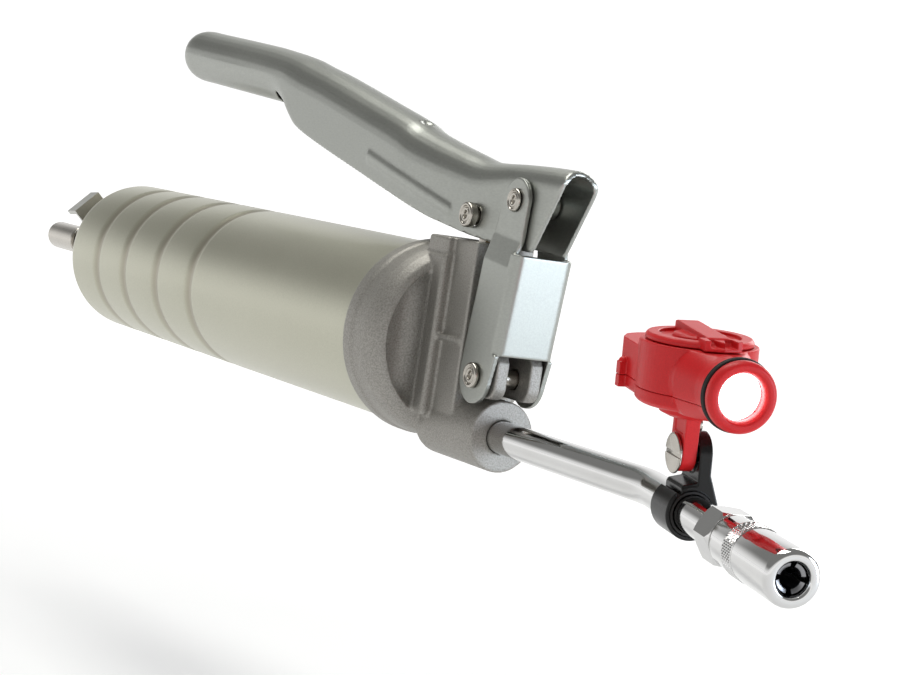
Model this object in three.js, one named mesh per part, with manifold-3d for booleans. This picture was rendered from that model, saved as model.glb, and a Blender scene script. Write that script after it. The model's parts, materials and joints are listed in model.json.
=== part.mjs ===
// Lever-action grease gun with a rigid steel outlet pipe, a four-jaw coupler and a clip-on LED work light.
// Millimetres, +Z up. The origin is on the barrel axis at the middle of the plain barrel; +X runs to the outlet.
import * as THREE from 'three';
import { mergeVertices } from 'three/addons/utils/BufferGeometryUtils.js';
import Module from 'manifold-3d';

const wasm = await Module();
wasm.setup();

// ---- driving dimensions -------------------------------------------------------------------------------------
const CLEARANCE = 0.3;
const OUTLET_X = 114;
const BARREL_RADIUS = 28.5;
const BARREL_WALL = 1.6;
const BARREL_LENGTH = 258.7;
const BARREL_REAR = 304;
const BEAD_DEPTH = 0.7;
const BEAD_WIDTH = 9.5;
const BEAD_SETBACKS = [177.2, 208.9, 240.8, 268.9];
const SHOULDER_RADIUS = 10;
const COLLAR_RADIUS = 29.8;
const SLAB_HALF = 10;
const SLAB_TOP = 31.9;
const SLAB_FRONT = 13.5;
const BOSS_RADIUS = 10.6;
const OUTLET_Z = -23.3;
const PIPE_RADIUS = 4.85;
const ROD_RADIUS = 4;
const KNOB_RADIUS = 5.75;
const KNOB_END = 393;
const KNOB_LENGTH = 31;
const FOLLOWER_BACK = 119;
const PUMP_SETBACK = 22;
const PLUNGER_RADIUS = 4;
const PIN_RADIUS = 2.8;
const CLEVIS_PIVOT = { back: 4.5, z: -6.5 };
const LEVER_PIVOT = { back: -1.5, z: 45.6 };
const PLUNGER_PIN = { back: 22, z: 39.2 };
const SHEET = 1.6;
const LINK_HALF = 10;
const LINK_EAR_HALF = 8.3;
const LEVER_WALL = 1.5;
const PIPE_BEND_START = 71.5;
const PIPE_BEND_RADIUS = 40;
const COUPLER_YAW = -14.2;
const COUPLER_PITCH = 2.95;
const COUPLER_TIP = { ahead: 168.3, y: -23.1, z: -28.2 };
const COUPLER_RADIUS = 6.93;
const HEX_ACROSS_FLATS = 13;
const CLAMP_SETBACK = 69.5;
const CLAMP_ROLL = 5;
const TILT_HEIGHT = 14.4;
const TILT_REST = -1;
const TORCH_Y = -1.6;
const LIGHT_Z = 20.8;
const SEAM_Z = 16.9;
const TAIL_TOP = 26;
const BODY_CENTRE = 3.4;
const BODY_RADIUS = 14.8;
const BODY_BOTTOM = 13;
const BODY_TOP = 28.8;
const BODY_TAIL = -26.4;
const NECK_END = 29;
const LENS_FRONT = 34.8;
const BEZEL_RADIUS = 8.8;

const degrees = THREE.MathUtils.degToRad;
const behind = (distance) => OUTLET_X - distance;

// ---- materials ----------------------------------------------------------------------------------------------
function finish(color, metalness, roughness) {
  return new THREE.MeshStandardMaterial({ color, metalness, roughness });
}
const castAlloy = finish(0x9c968b, 0.8, 0.6);
const satinSteel = finish(0xb3b0a6, 0.9, 0.42);
const zincSteel = finish(0xb4b9bb, 0.9, 0.35);
const nickel = finish(0xc9c4b8, 1, 0.2);
const chrome = finish(0xd8d8da, 1, 0.08);
const springSteel = finish(0x8f9092, 1, 0.35);
const blackRubber = finish(0x171717, 0, 0.7);
const blackPlastic = finish(0x111112, 0, 0.25);
const redPlastic = finish(0xc8232a, 0, 0.45);
const brass = finish(0xb99a55, 1, 0.35);
const clearLens = finish(0xffffff, 0, 0.1);

// ---- solids -------------------------------------------------------------------------------------------------
function solid(geometry) {
  const bare = geometry.clone();
  bare.deleteAttribute('normal');
  bare.deleteAttribute('uv');
  const merged = mergeVertices(bare, 1e-4);
  const position = merged.attributes.position.array;
  const index = Array.from(merged.index.array);
  const corners = [];
  for (let i = 0; i < index.length; i += 3) {
    const [a, b, c] = index.slice(i, i + 3);
    if (a !== b && b !== c && c !== a) corners.push(a, b, c);
  }
  if (signedVolume(position, corners) < 0) corners.reverse();
  return new wasm.Manifold(new wasm.Mesh({
    numProp: 3,
    vertProperties: new Float32Array(position),
    triVerts: new Uint32Array(corners),
  }));
}

function signedVolume(position, corners) {
  const point = (k) => new THREE.Vector3(position[3 * k], position[3 * k + 1], position[3 * k + 2]);
  let volume = 0;
  for (let i = 0; i < corners.length; i += 3) {
    const a = point(corners[i]);
    volume += a.dot(point(corners[i + 1]).cross(point(corners[i + 2])));
  }
  return volume;
}

function geometryOf(body) {
  const mesh = body.getMesh();
  const geometry = new THREE.BufferGeometry();
  geometry.setAttribute('position', new THREE.BufferAttribute(new Float32Array(mesh.vertProperties), 3));
  geometry.setIndex(new THREE.BufferAttribute(new Uint32Array(mesh.triVerts), 1));
  geometry.computeVertexNormals();
  return geometry;
}

const unite = (...bodies) => bodies.reduce((whole, next) => whole.add(next));
const cut = (body, ...tools) => tools.reduce((rest, tool) => rest.subtract(tool), body);

function block(x0, x1, y0, y1, z0, z1) {
  const box = new THREE.BoxGeometry(x1 - x0, y1 - y0, z1 - z0);
  box.translate((x0 + x1) / 2, (y0 + y1) / 2, (z0 + z1) / 2);
  return solid(box);
}

// A turned solid from [place along the axis, radius] points, about a line parallel to X through (y, z).
function turnedX(profile, sides = 24, y = 0, z = 0) {
  const points = profile.map(([along, radius]) => new THREE.Vector2(radius, along));
  const lathe = new THREE.LatheGeometry(points, sides);
  lathe.rotateZ(-Math.PI / 2);
  lathe.translate(0, y, z);
  return solid(lathe);
}

function rodX(x0, x1, radius, sides = 24, y = 0, z = 0) {
  return turnedX([[x0, 0], [x0, radius], [x1, radius], [x1, 0]], sides, y, z);
}

function ringX(x0, x1, inner, outer, sides = 24, y = 0, z = 0) {
  return turnedX([[x0, inner], [x0, outer], [x1, outer], [x1, inner], [x0, inner]], sides, y, z);
}

function rodY(y0, y1, radius, x, z, sides = 16) {
  const rod = new THREE.CylinderGeometry(radius, radius, y1 - y0, sides);
  rod.translate(x, (y0 + y1) / 2, z);
  return solid(rod);
}

function rodZ(z0, z1, radius, x, y, sides = 16) {
  const rod = new THREE.CylinderGeometry(radius, radius, z1 - z0, sides);
  rod.rotateX(Math.PI / 2);
  rod.translate(x, y, (z0 + z1) / 2);
  return solid(rod);
}

function turnedZ(profile, x = 0, y = 0, sides = 24) {
  const points = profile.map(([height, radius]) => new THREE.Vector2(radius, height));
  const lathe = new THREE.LatheGeometry(points, sides);
  lathe.rotateX(Math.PI / 2);
  lathe.translate(x, y, 0);
  return solid(lathe);
}

function outline(points) {
  return new THREE.Shape(points.map(([a, b]) => new THREE.Vector2(a, b)));
}

// A plate of constant thickness across Y from an outline in X and Z.
function plateY(shape, y0, y1, curveSegments = 5) {
  const plate = new THREE.ExtrudeGeometry(shape, { depth: y1 - y0, bevelEnabled: false, curveSegments });
  plate.rotateX(Math.PI / 2);
  plate.translate(0, y1, 0);
  return solid(plate);
}

// A plate of constant thickness across Z from an outline in X and Y.
function plateZ(shape, z0, z1, curveSegments = 6) {
  const plate = new THREE.ExtrudeGeometry(shape, { depth: z1 - z0, bevelEnabled: false, curveSegments });
  plate.translate(0, 0, z0);
  return solid(plate);
}

// A bar along X from an outline in Y and Z.
function barX(shape, x0, x1, curveSegments = 6) {
  const bar = new THREE.ExtrudeGeometry(shape, { depth: x1 - x0, bevelEnabled: false, curveSegments });
  bar.rotateY(Math.PI / 2);
  bar.rotateX(Math.PI / 2);
  bar.translate(x0, 0, 0);
  return solid(bar);
}

// A closed skin over rings of equal length, with flat ends.
function loft(rings) {
  const count = rings[0].length;
  const position = rings.flat(2);
  const corners = [];
  for (let i = 0; i + 1 < rings.length; i += 1) {
    for (let k = 0; k < count; k += 1) {
      const a = i * count + k;
      const b = i * count + (k + 1) % count;
      corners.push(a, a + count, b, b, a + count, b + count);
    }
  }
  const last = (rings.length - 1) * count;
  for (let k = 1; k + 1 < count; k += 1) {
    corners.push(0, k, k + 1, last, last + k + 1, last + k);
  }
  const geometry = new THREE.BufferGeometry();
  geometry.setAttribute('position', new THREE.BufferAttribute(new Float32Array(position), 3));
  geometry.setIndex(corners);
  return solid(geometry);
}

class Helix extends THREE.Curve {
  constructor(x0, x1, radius, turns) {
    super();
    Object.assign(this, { x0, x1, radius, turns });
  }

  getPoint(t) {
    const angle = 2 * Math.PI * this.turns * t;
    const x = THREE.MathUtils.lerp(this.x0, this.x1, t);
    return new THREE.Vector3(x, this.radius * Math.cos(angle), this.radius * Math.sin(angle));
  }
}

function coilSpring(x0, x1, radius, wire, turns, stepsPerTurn = 9) {
  const section = new THREE.Shape();
  section.absarc(0, 0, wire, 0, 2 * Math.PI);
  return solid(new THREE.ExtrudeGeometry(section, {
    steps: Math.round(turns * stepsPerTurn),
    extrudePath: new Helix(x0, x1, radius, turns),
    curveSegments: 2,
  }));
}

function hexagonX(x0, x1, acrossFlats) {
  return rodX(x0, x1, acrossFlats / Math.sqrt(3), 6);
}

const gun = new THREE.Group();
function piece(name, body, material, parent = gun) {
  const mesh = new THREE.Mesh(geometryOf(body), material);
  mesh.name = name;
  parent.add(mesh);
}

// ---- head casting -------------------------------------------------------------------------------------------
const pumpX = behind(PUMP_SETBACK);
const SOCKET_FLOOR = 43.5;
const CHECK_SEAT = 22;
const PIPE_STOP = 11;

function clevisEar() {
  const ear = new THREE.Shape();
  ear.moveTo(behind(16), -12.5);
  ear.lineTo(behind(0), -12.5);
  ear.quadraticCurveTo(behind(-4.6), -12.5, behind(-4.6), -7.5);
  ear.lineTo(behind(-4.6), -1.4);
  ear.lineTo(behind(-3), 1);
  ear.lineTo(behind(3), 6);
  ear.lineTo(behind(16), 10);
  return ear;
}

function headCasting() {
  const collar = turnedX([
    [behind(51.2), 0], [behind(51.2), 30.3], [behind(46), 30.3], [behind(45.4), COLLAR_RADIUS],
    [behind(38.5), COLLAR_RADIUS], [behind(34.8), 29.1], [behind(32.4), 27.4], [behind(31.5), 25.2], [behind(31.5), 0],
  ], 32);
  const rib = block(behind(37), behind(25.5), -13.5, 13.5, -22, 27).intersect(rodX(behind(38), behind(20), 29.3, 32));
  const slab = block(behind(38), behind(SLAB_FRONT), -SLAB_HALF, SLAB_HALF, -20, SLAB_TOP);
  const topPad = block(behind(38), behind(27), -11.8, 11.8, 20, SLAB_TOP);
  const boss = rodX(behind(34), OUTLET_X, BOSS_RADIUS, 24, 0, OUTLET_Z);
  const ears = [-1, 1].map((side) => plateY(clevisEar(), side > 0 ? 3.7 : -7.7, side > 0 ? 7.7 : -3.7, 4));
  const ridges = [-1, 1].map((side) => plateZ(outline([
    [behind(25.8), side * 9.5], [behind(25.8), side * 12.2], [behind(14.5), side * 10.2], [behind(14.5), side * 9.5],
  ]), 1.6, 3));
  const moonCutter = rodX(behind(36.4), behind(30), 25, 24);
  const middle = block(behind(40), behind(28), -13.8, 13.8, -40, 40);
  const outside = unite(collar, rib, slab, topPad, boss, ...ears, ...ridges);
  return cut(
    outside,
    cut(moonCutter, middle, rodX(behind(40), behind(28), BOSS_RADIUS + 1.5, 24, 0, OUTLET_Z)),
    turnedX([[behind(53), 0], [behind(53), 28.9], [behind(SOCKET_FLOOR), 28.9], [behind(SOCKET_FLOOR), 26.5],
      [behind(41), 25], [behind(41), 0]], 32),
    rodZ(-14, SLAB_TOP + 1, PLUNGER_RADIUS + CLEARANCE, pumpX, 0),
    rodZ(21.5, SLAB_TOP + 1, 6.8, pumpX, 0),
    rodZ(OUTLET_Z, -13, 1.6, behind(24.6), 0, 12),
    rodX(behind(26.4), behind(21), 2, 16, 0, OUTLET_Z),
    rodX(behind(CHECK_SEAT), behind(9), 3.7, 20, 0, OUTLET_Z),
    rodX(behind(PIPE_STOP + CLEARANCE), OUTLET_X + 1, PIPE_RADIUS + 0.45, 24, 0, OUTLET_Z),
    rodX(behind(42), behind(25), 2.2, 12, 0, 4),
    rodY(-12, 12, PIN_RADIUS + CLEARANCE, behind(CLEVIS_PIVOT.back), CLEVIS_PIVOT.z),
  );
}

// ---- barrel -------------------------------------------------------------------------------------------------
function arcPoints(centre, radius, start, end, count) {
  return Array.from({ length: count + 1 }, (_, i) => {
    const angle = degrees(start + (end - start) * i / count);
    return [centre[0] + radius * Math.cos(angle), centre[1] + radius * Math.sin(angle)];
  });
}

const rear = behind(BARREL_REAR);

function barrelTube() {
  const front = rear + BARREL_LENGTH;
  const beads = BEAD_SETBACKS.flatMap((setback) => [
    [behind(setback) + BEAD_WIDTH / 2, BARREL_RADIUS],
    [behind(setback) + BEAD_WIDTH / 4, BARREL_RADIUS - BEAD_DEPTH],
    [behind(setback) - BEAD_WIDTH / 4, BARREL_RADIUS - BEAD_DEPTH],
    [behind(setback) - BEAD_WIDTH / 2, BARREL_RADIUS],
  ]);
  const centre = [rear + SHOULDER_RADIUS, BARREL_RADIUS - SHOULDER_RADIUS];
  const innerRadius = SHOULDER_RADIUS - BARREL_WALL;
  const start = [front, BARREL_RADIUS - BARREL_WALL];
  return turnedX([
    start, [front, BARREL_RADIUS], ...beads,
    ...arcPoints(centre, SHOULDER_RADIUS, 90, 180, 4), [rear, 7.2], [rear + BARREL_WALL, 7.2],
    ...arcPoints(centre, innerRadius, 180, 90, 2), start,
  ]);
}

function rodGuideBush() {
  const bore = ROD_RADIUS + CLEARANCE;
  const end = rear - 2;
  const flange = rear + BARREL_WALL + CLEARANCE;
  return turnedX([
    [end, bore], [end, 6.9], [flange, 6.9], [flange, 10],
    [flange + 2.6, 10], [flange + 2.6, bore], [end, bore],
  ]);
}

// ---- follower -----------------------------------------------------------------------------------------------
const cupX = (ahead) => behind(FOLLOWER_BACK - ahead);
const rodBore = ROD_RADIUS + CLEARANCE;

function followerCup() {
  const start = [cupX(4.1), rodBore];
  return turnedX([
    start, [cupX(4.1), 24], [cupX(0), 25], [cupX(0), 26.4], [cupX(14), 26.4], [cupX(14), 25],
    [cupX(7.1), 23], [cupX(7.1), rodBore], start,
  ]);
}

function rodKnob() {
  const back = behind(KNOB_END);
  const mouth = back + KNOB_LENGTH;
  return turnedX([
    [back, 0], [back, 3.4], [back + 1, 4.9], [back + 3, KNOB_RADIUS],
    [mouth, KNOB_RADIUS], [mouth, rodBore], [mouth - 12, rodBore], [mouth - 12, 0],
  ]);
}

function addBarrelPieces() {
  piece('barrel_tube', barrelTube(), satinSteel);
  piece('barrel_gasket', ringX(behind(45), behind(43.8), 26.9, 28.5), blackRubber);
  piece('rod_guide_bush', rodGuideBush(), brass);
  piece('follower_spring', coilSpring(rear + 3.3, cupX(0.7), 19, 1.1, 9), springSteel);
  const rodEnd = behind(KNOB_END) + KNOB_LENGTH - 11.7;
  piece('follower_rod', rodX(rodEnd, cupX(18), ROD_RADIUS, 20), nickel);
  piece('rod_knob', rodKnob(), nickel);
  piece('follower_back_plate', ringX(cupX(2), cupX(3.8), rodBore, 23.4), zincSteel);
  piece('follower_cup', followerCup(), blackRubber);
  piece('follower_front_plate', ringX(cupX(7.4), cupX(9.2), rodBore, 21), zincSteel);
  const nutBore = rodX(cupX(9), cupX(15), rodBore, 16);
  piece('follower_nut', cut(hexagonX(cupX(9.5), cupX(14.4), HEX_ACROSS_FLATS), nutBore), zincSteel);
}

// ---- rod lock: a sprung plate that grips the follower rod, its thumb tab up on the near side -----------------
const LOCK_PIVOT = { back: BARREL_REAR + 6.2, z: -15.6 };
const LOCK_TILT = 6;

function addRodLock() {
  const lock = new THREE.Group();
  lock.rotation.x = degrees(45);
  gun.add(lock);
  const bracket = unite(
    block(rear - 1.9, rear - CLEARANCE, -6.2, 6.2, -19, -13),
    block(rear - 12, rear - CLEARANCE, -6.2, 6.2, -19, -17.2),
    block(rear - 12, rear - 10.4, -6.2, 6.2, -19, -14.2),
  );
  piece('rod_lock_bracket', bracket, zincSteel, lock);
  const tilt = new THREE.Group();
  tilt.position.set(behind(LOCK_PIVOT.back), 0, LOCK_PIVOT.z);
  tilt.rotation.y = -degrees(LOCK_TILT);
  lock.add(tilt);
  const hole = new THREE.CylinderGeometry(ROD_RADIUS + 0.8, ROD_RADIUS + 0.8, 6, 20);
  hole.rotateZ(Math.PI / 2);
  hole.translate(0, 0, -LOCK_PIVOT.z);
  const plate = unite(block(-2, 0, -6.2, 6.2, -1.2, 42), block(-11, 0, -6.2, 6.2, 40.2, 42));
  piece('rod_lock_lever', cut(plate, solid(hole)), zincSteel, tilt);
  piece('rod_lock_spring', coilSpring(rear - 6.8, rear - 2.9, 5.7, 0.45, 2), springSteel);
}

// ---- pump ---------------------------------------------------------------------------------------------------
const SLOT_HALF = 1.1;

function pumpPlunger() {
  const stem = rodZ(-12.6, 35, PLUNGER_RADIUS, pumpX, 0);
  const eye = new THREE.Shape();
  const bottom = PLUNGER_PIN.z - 4.6;
  const top = PLUNGER_PIN.z + 5.4;
  eye.moveTo(pumpX - 4.5, bottom);
  eye.lineTo(pumpX + 4.5, bottom);
  eye.lineTo(pumpX + 6.8, PLUNGER_PIN.z - 2);
  eye.quadraticCurveTo(pumpX + 6.8, top, pumpX + 2, top);
  eye.lineTo(pumpX - 2, top);
  eye.quadraticCurveTo(pumpX - 6.8, top, pumpX - 6.8, PLUNGER_PIN.z - 2);
  const slotRadius = PIN_RADIUS + CLEARANCE + 0.1;
  const slot = unite(
    rodY(-5, 5, slotRadius, pumpX - SLOT_HALF, PLUNGER_PIN.z),
    rodY(-5, 5, slotRadius, pumpX + SLOT_HALF, PLUNGER_PIN.z),
    block(pumpX - SLOT_HALF, pumpX + SLOT_HALF, -5, 5, PLUNGER_PIN.z - slotRadius, PLUNGER_PIN.z + slotRadius),
  );
  return cut(unite(stem, plateY(eye, -3.5, 3.5, 5)), slot);
}

function ringZ(z0, z1, inner, outer, x, y) {
  return turnedZ([[z0, inner], [z0, outer], [z1, outer], [z1, inner], [z0, inner]], x, y, 20);
}

function addPumpPieces() {
  const bore = PLUNGER_RADIUS + CLEARANCE;
  piece('pump_plunger', pumpPlunger(), nickel);
  piece('plunger_seal', ringZ(21.8, 26.8, bore, 6.5, pumpX, 0), blackRubber);
  piece('plunger_gland', ringZ(27.1, 31.6, bore, 6.5, pumpX, 0), brass);
  const ball = new THREE.SphereGeometry(3, 12, 8);
  ball.translate(behind(CHECK_SEAT - 2.6), 0, OUTLET_Z);
  piece('check_ball', solid(ball), chrome);
  const spring = coilSpring(behind(16), behind(PIPE_STOP + 0.7), 2.5, 0.35, 3, 10);
  piece('check_spring', spring.translate([0, 0, OUTLET_Z]), springSteel);
}

// ---- link and its pins --------------------------------------------------------------------------------------
const linkRun = [CLEVIS_PIVOT.back - LEVER_PIVOT.back, LEVER_PIVOT.z - CLEVIS_PIVOT.z];
const LINK_LENGTH = Math.hypot(...linkRun);
const LINK_LEAN = Math.atan2(linkRun[0], linkRun[1]);
const WEB_FRONT = 9.75;
const WEB_LOW = 8.2;
const WEB_HIGH = 38;

function linkBracket() {
  const side = new THREE.Shape();
  side.moveTo(-8.4, 40.5);
  side.lineTo(-8.6, 0);
  side.absarc(0, 0, 8.2, Math.PI, 2 * Math.PI, false);
  side.lineTo(WEB_FRONT, WEB_LOW);
  side.lineTo(WEB_FRONT, WEB_HIGH);
  side.lineTo(7.2, 40.5);
  const ear = new THREE.Shape();
  ear.moveTo(7.2, 38);
  ear.lineTo(6.6, LINK_LENGTH);
  ear.absarc(0, LINK_LENGTH, 6.6, 0, Math.PI, false);
  ear.lineTo(-8.2, 38);
  const earInner = LINK_EAR_HALF - SHEET;
  const plates = [-1, 1].flatMap((hand) => [
    plateY(side, ...[hand * LINK_HALF, hand * (LINK_HALF - SHEET)].sort((a, b) => a - b), 8),
    plateY(ear, ...[hand * LINK_EAR_HALF, hand * earInner].sort((a, b) => a - b), 8),
    block(-8.2, 7.2, ...[hand * earInner, hand * LINK_HALF].sort((a, b) => a - b), 38.6, 40.5),
  ]);
  const web = block(WEB_FRONT - SHEET, WEB_FRONT, -LINK_HALF, LINK_HALF, WEB_LOW, WEB_HIGH);
  return cut(
    unite(web, ...plates),
    rodY(-12, 12, PIN_RADIUS + CLEARANCE, 0, 0),
    rodY(-12, 12, PIN_RADIUS + CLEARANCE, 0, LINK_LENGTH),
  );
}

function rivetY(x, z, half, headRadius, headHeight) {
  return unite(
    rodY(-half - 0.1, half + 0.1, PIN_RADIUS, x, z),
    rodY(-half - headHeight, -half, headRadius, x, z, 20),
    rodY(half, half + headHeight, headRadius, x, z, 20),
  );
}

function addLinkPieces() {
  const link = new THREE.Group();
  link.position.set(behind(CLEVIS_PIVOT.back), 0, CLEVIS_PIVOT.z);
  link.rotation.y = LINK_LEAN;
  gun.add(link);
  piece('link_bracket', linkBracket(), zincSteel, link);
  const lower = rivetY(behind(CLEVIS_PIVOT.back), CLEVIS_PIVOT.z, LINK_HALF + CLEARANCE, 3.75, 1.3);
  piece('link_pivot_rivet', lower, nickel);
  const leverX = behind(LEVER_PIVOT.back);
  const upper = rivetY(leverX, LEVER_PIVOT.z, LINK_EAR_HALF + CLEARANCE, 3.4, 0.9);
  piece('lever_pivot_rivet', upper, nickel);
  const spacer = cut(
    rodY(-4.4, 4.4, 4.2, leverX, LEVER_PIVOT.z),
    rodY(-5, 5, PIN_RADIUS + CLEARANCE, leverX, LEVER_PIVOT.z),
  );
  piece('lever_pivot_spacer', spacer, zincSteel);
  const plungerPin = rivetY(pumpX, PLUNGER_PIN.z, 8.3, 3.75, 2.6);
  piece('plunger_pin', plungerPin, nickel);
}

// ---- hand lever: a channel folded from sheet that closes into a round grip -----------------------------------
// Stations: distance behind the outlet face, top height, bottom height, half width, corner radius of the bottom.
const LEVER_STATIONS = [
  [-26, 56.2, 31.4, 6.4, 0.1],
  [-9, 56.5, 31.4, 6.4, 0.1],
  [8, 56.3, 32, 6.4, 0.1],
  [16, 56, 32.6, 7.2, 0.1],
  [25, 56, 33.4, 7.9, 0.1],
  [36, 57.8, 34.9, 8.6, 0.1],
  [50, 60.3, 36.9, 9.3, 0.1],
  [66, 63.6, 40.2, 9.8, 0.1],
  [74, 66.2, 42, 10, 0.1],
  [93, 70.3, 46.2, 10, 0.1],
  [132, 78.5, 54.8, 10, 0.1],
  [149, 81.6, 59.2, 10, 1],
  [157, 83.2, 62.6, 10, 3],
  [165, 84.4, 66, 9.8, 6],
  [175, 85.6, 67, 9.6, 9],
  [191, 87.2, 68.2, 9.5, 9.5],
  [244, 91.1, 72, 9.5, 9.5],
  [254, 91.8, 72.8, 9.4, 9.4],
  [259, 91, 74.3, 8.2, 8.2],
  [262.6, 88.8, 77, 5.6, 5.6],
];
const GRIP_OPENS = 160;
const GRIP_CLOSES = 176;

function leverRing(back, top, bottom, half, corner, steps = 6) {
  const ring = [];
  const upper = Math.min(half, (top - bottom) / 2);
  for (let i = 0; i <= steps; i += 1) {
    const angle = Math.PI * i / steps;
    ring.push([behind(back), half * Math.cos(angle), top - upper + upper * Math.sin(angle)]);
  }
  const low = Math.min(corner, (top - bottom) / 2);
  for (let i = 0; i <= steps; i += 1) {
    const angle = Math.PI * i / steps;
    const side = Math.cos(angle);
    const y = -Math.sign(side) * (half - low) - low * side;
    ring.push([behind(back), Math.abs(side) < 1e-9 ? 0 : y, bottom + low - low * Math.sin(angle)]);
  }
  return ring;
}

function leverSolid() {
  const skin = loft(LEVER_STATIONS.map((station) => leverRing(...station)));
  const hollowStations = LEVER_STATIONS.slice(0, -2).map(([back, top, bottom, half, corner]) => {
    const closing = THREE.MathUtils.clamp((back - GRIP_OPENS) / (GRIP_CLOSES - GRIP_OPENS), 0, 1);
    const floor = bottom + THREE.MathUtils.lerp(-8, LEVER_WALL, closing);
    return [back, top - LEVER_WALL, floor, half - LEVER_WALL, Math.max(corner - LEVER_WALL, 0.1)];
  });
  hollowStations[0][0] = -30;
  const hollow = loft(hollowStations.map((station) => leverRing(...station)));
  return cut(skin, hollow);
}

const NOSE_RADIUS = 16.35;
function leverFrontCut() {
  const pivot = [behind(LEVER_PIVOT.back), LEVER_PIVOT.z];
  const removed = new THREE.Shape();
  removed.moveTo(behind(-19.8), 62);
  removed.lineTo(behind(-19.8), 56.6);
  removed.lineTo(behind(-22), 53);
  removed.lineTo(behind(-22), 50);
  removed.absarc(pivot[0], pivot[1], NOSE_RADIUS, degrees(-11), degrees(-78), true);
  removed.lineTo(behind(-4.9), 24);
  removed.lineTo(behind(-40), 24);
  removed.lineTo(behind(-40), 62);
  return plateY(removed, -14, 14, 10);
}

function addLever() {
  const handle = cut(
    leverSolid(),
    leverFrontCut(),
    rodY(-12, 12, PIN_RADIUS + CLEARANCE, behind(LEVER_PIVOT.back), LEVER_PIVOT.z),
    rodY(-12, 12, PIN_RADIUS + CLEARANCE, pumpX, PLUNGER_PIN.z),
  );
  piece('hand_lever', handle, zincSteel);
}

// ---- outlet pipe and coupler --------------------------------------------------------------------------------
const couplerHeading = new THREE.Group();
couplerHeading.rotation.order = 'ZYX';
couplerHeading.rotation.set(0, degrees(COUPLER_PITCH), degrees(COUPLER_YAW));
const heading = new THREE.Vector3(1, 0, 0).applyEuler(couplerHeading.rotation);
const couplerTip = new THREE.Vector3(OUTLET_X + COUPLER_TIP.ahead, COUPLER_TIP.y, COUPLER_TIP.z);
couplerHeading.position.copy(couplerTip);
gun.add(couplerHeading);
const PIPE_END = 38.2;

function outletPipe() {
  const start = new THREE.Vector3(behind(PIPE_STOP), 0, OUTLET_Z);
  const bendStart = new THREE.Vector3(OUTLET_X + PIPE_BEND_START, 0, OUTLET_Z);
  const bendCorner = bendStart.clone().setX(couplerTip.x - couplerTip.y / heading.y * heading.x);
  const bendEnd = bendCorner.clone().addScaledVector(heading, bendCorner.x - bendStart.x);
  const end = couplerTip.clone().addScaledVector(heading, -PIPE_END);
  const route = new THREE.CurvePath();
  route.add(new THREE.LineCurve3(start, bendStart));
  route.add(new THREE.QuadraticBezierCurve3(bendStart, bendCorner, bendEnd));
  route.add(new THREE.LineCurve3(bendEnd, end));
  const section = new THREE.Shape();
  section.absarc(0, 0, PIPE_RADIUS, 0, 2 * Math.PI);
  const bore = new THREE.Path();
  bore.absarc(0, 0, 2.2, 0, 2 * Math.PI, true);
  section.holes.push(bore);
  return solid(new THREE.ExtrudeGeometry(section, { steps: 18, extrudePath: route, curveSegments: 5 }));
}

function couplerSleeve() {
  const start = [-35.2, 5.3];
  return turnedX([
    start, [-35.2, 6.1], [-34.9, 6.6], [-27, 6.6], [-26.5, 7.05], [-20.8, 7.05], [-20.4, COUPLER_RADIUS],
    [-1.2, COUPLER_RADIUS], [-0.3, 6.5], [0, 5.9], [0, 4.3], [-1, 3.95], [-2.2, 3.95], [-6, 5.3], start,
  ]);
}

function couplerBody() {
  const rear = hexagonX(-45, -35.5, HEX_ACROSS_FLATS);
  const round = turnedX([[-45.5, 0], [-45.5, 5.8], [-43.5, 7.6], [-37, 7.6], [-35, 6.2], [-35, 0]]);
  const spigot = rodX(-36, -22, 5);
  return cut(
    unite(rear.intersect(round), spigot),
    rodX(-46, -PIPE_END + CLEARANCE, PIPE_RADIUS + CLEARANCE),
    rodX(-40, -21, 1.8, 16),
  );
}

function jaw(number) {
  const wedge = turnedX([
    [-14.2, 3.1], [-14.2, 4.95], [-6.4, 4.95], [-2.7, 3.62], [-1.4, 3.62], [-1.4, 2.9], [-3, 3.1], [-14.2, 3.1],
  ]);
  const keep = new THREE.Shape();
  const half = degrees(39);
  const middle = Math.PI / 4 + number * Math.PI / 2;
  keep.moveTo(0, 0);
  keep.lineTo(9 * Math.cos(middle - half), 9 * Math.sin(middle - half));
  keep.absarc(0, 0, 9, middle - half, middle + half, false);
  return wedge.intersect(barX(keep, -16, 1, 6));
}

function addCoupler() {
  piece('outlet_pipe', outletPipe(), chrome);
  piece('coupler_body', couplerBody(), chrome, couplerHeading);
  piece('coupler_sleeve', couplerSleeve(), chrome, couplerHeading);
  for (let number = 0; number < 4; number += 1) {
    piece(`coupler_jaw_${number + 1}`, jaw(number), springSteel, couplerHeading);
  }
  piece('coupler_seal', ringX(-17.5, -14.6, 1.2, 4.8, 20), blackRubber, couplerHeading);
  piece('coupler_spring', coilSpring(-21.3, -18.1, 3.6, 0.4, 2), springSteel, couplerHeading);
}

// ---- work light clamp ---------------------------------------------------------------------------------------
const clamp = new THREE.Group();
clamp.rotation.order = 'ZYX';
clamp.rotation.set(degrees(CLAMP_ROLL), degrees(COUPLER_PITCH), degrees(COUPLER_YAW));
clamp.position.copy(couplerTip).addScaledVector(heading, -CLAMP_SETBACK);
gun.add(clamp);
const CLAMP_HALF = 5.75;
const EAR_NEAR = 0.8;
const EAR_FAR = 4.2;
const SCREW_HEAD = 3.8;

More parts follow.
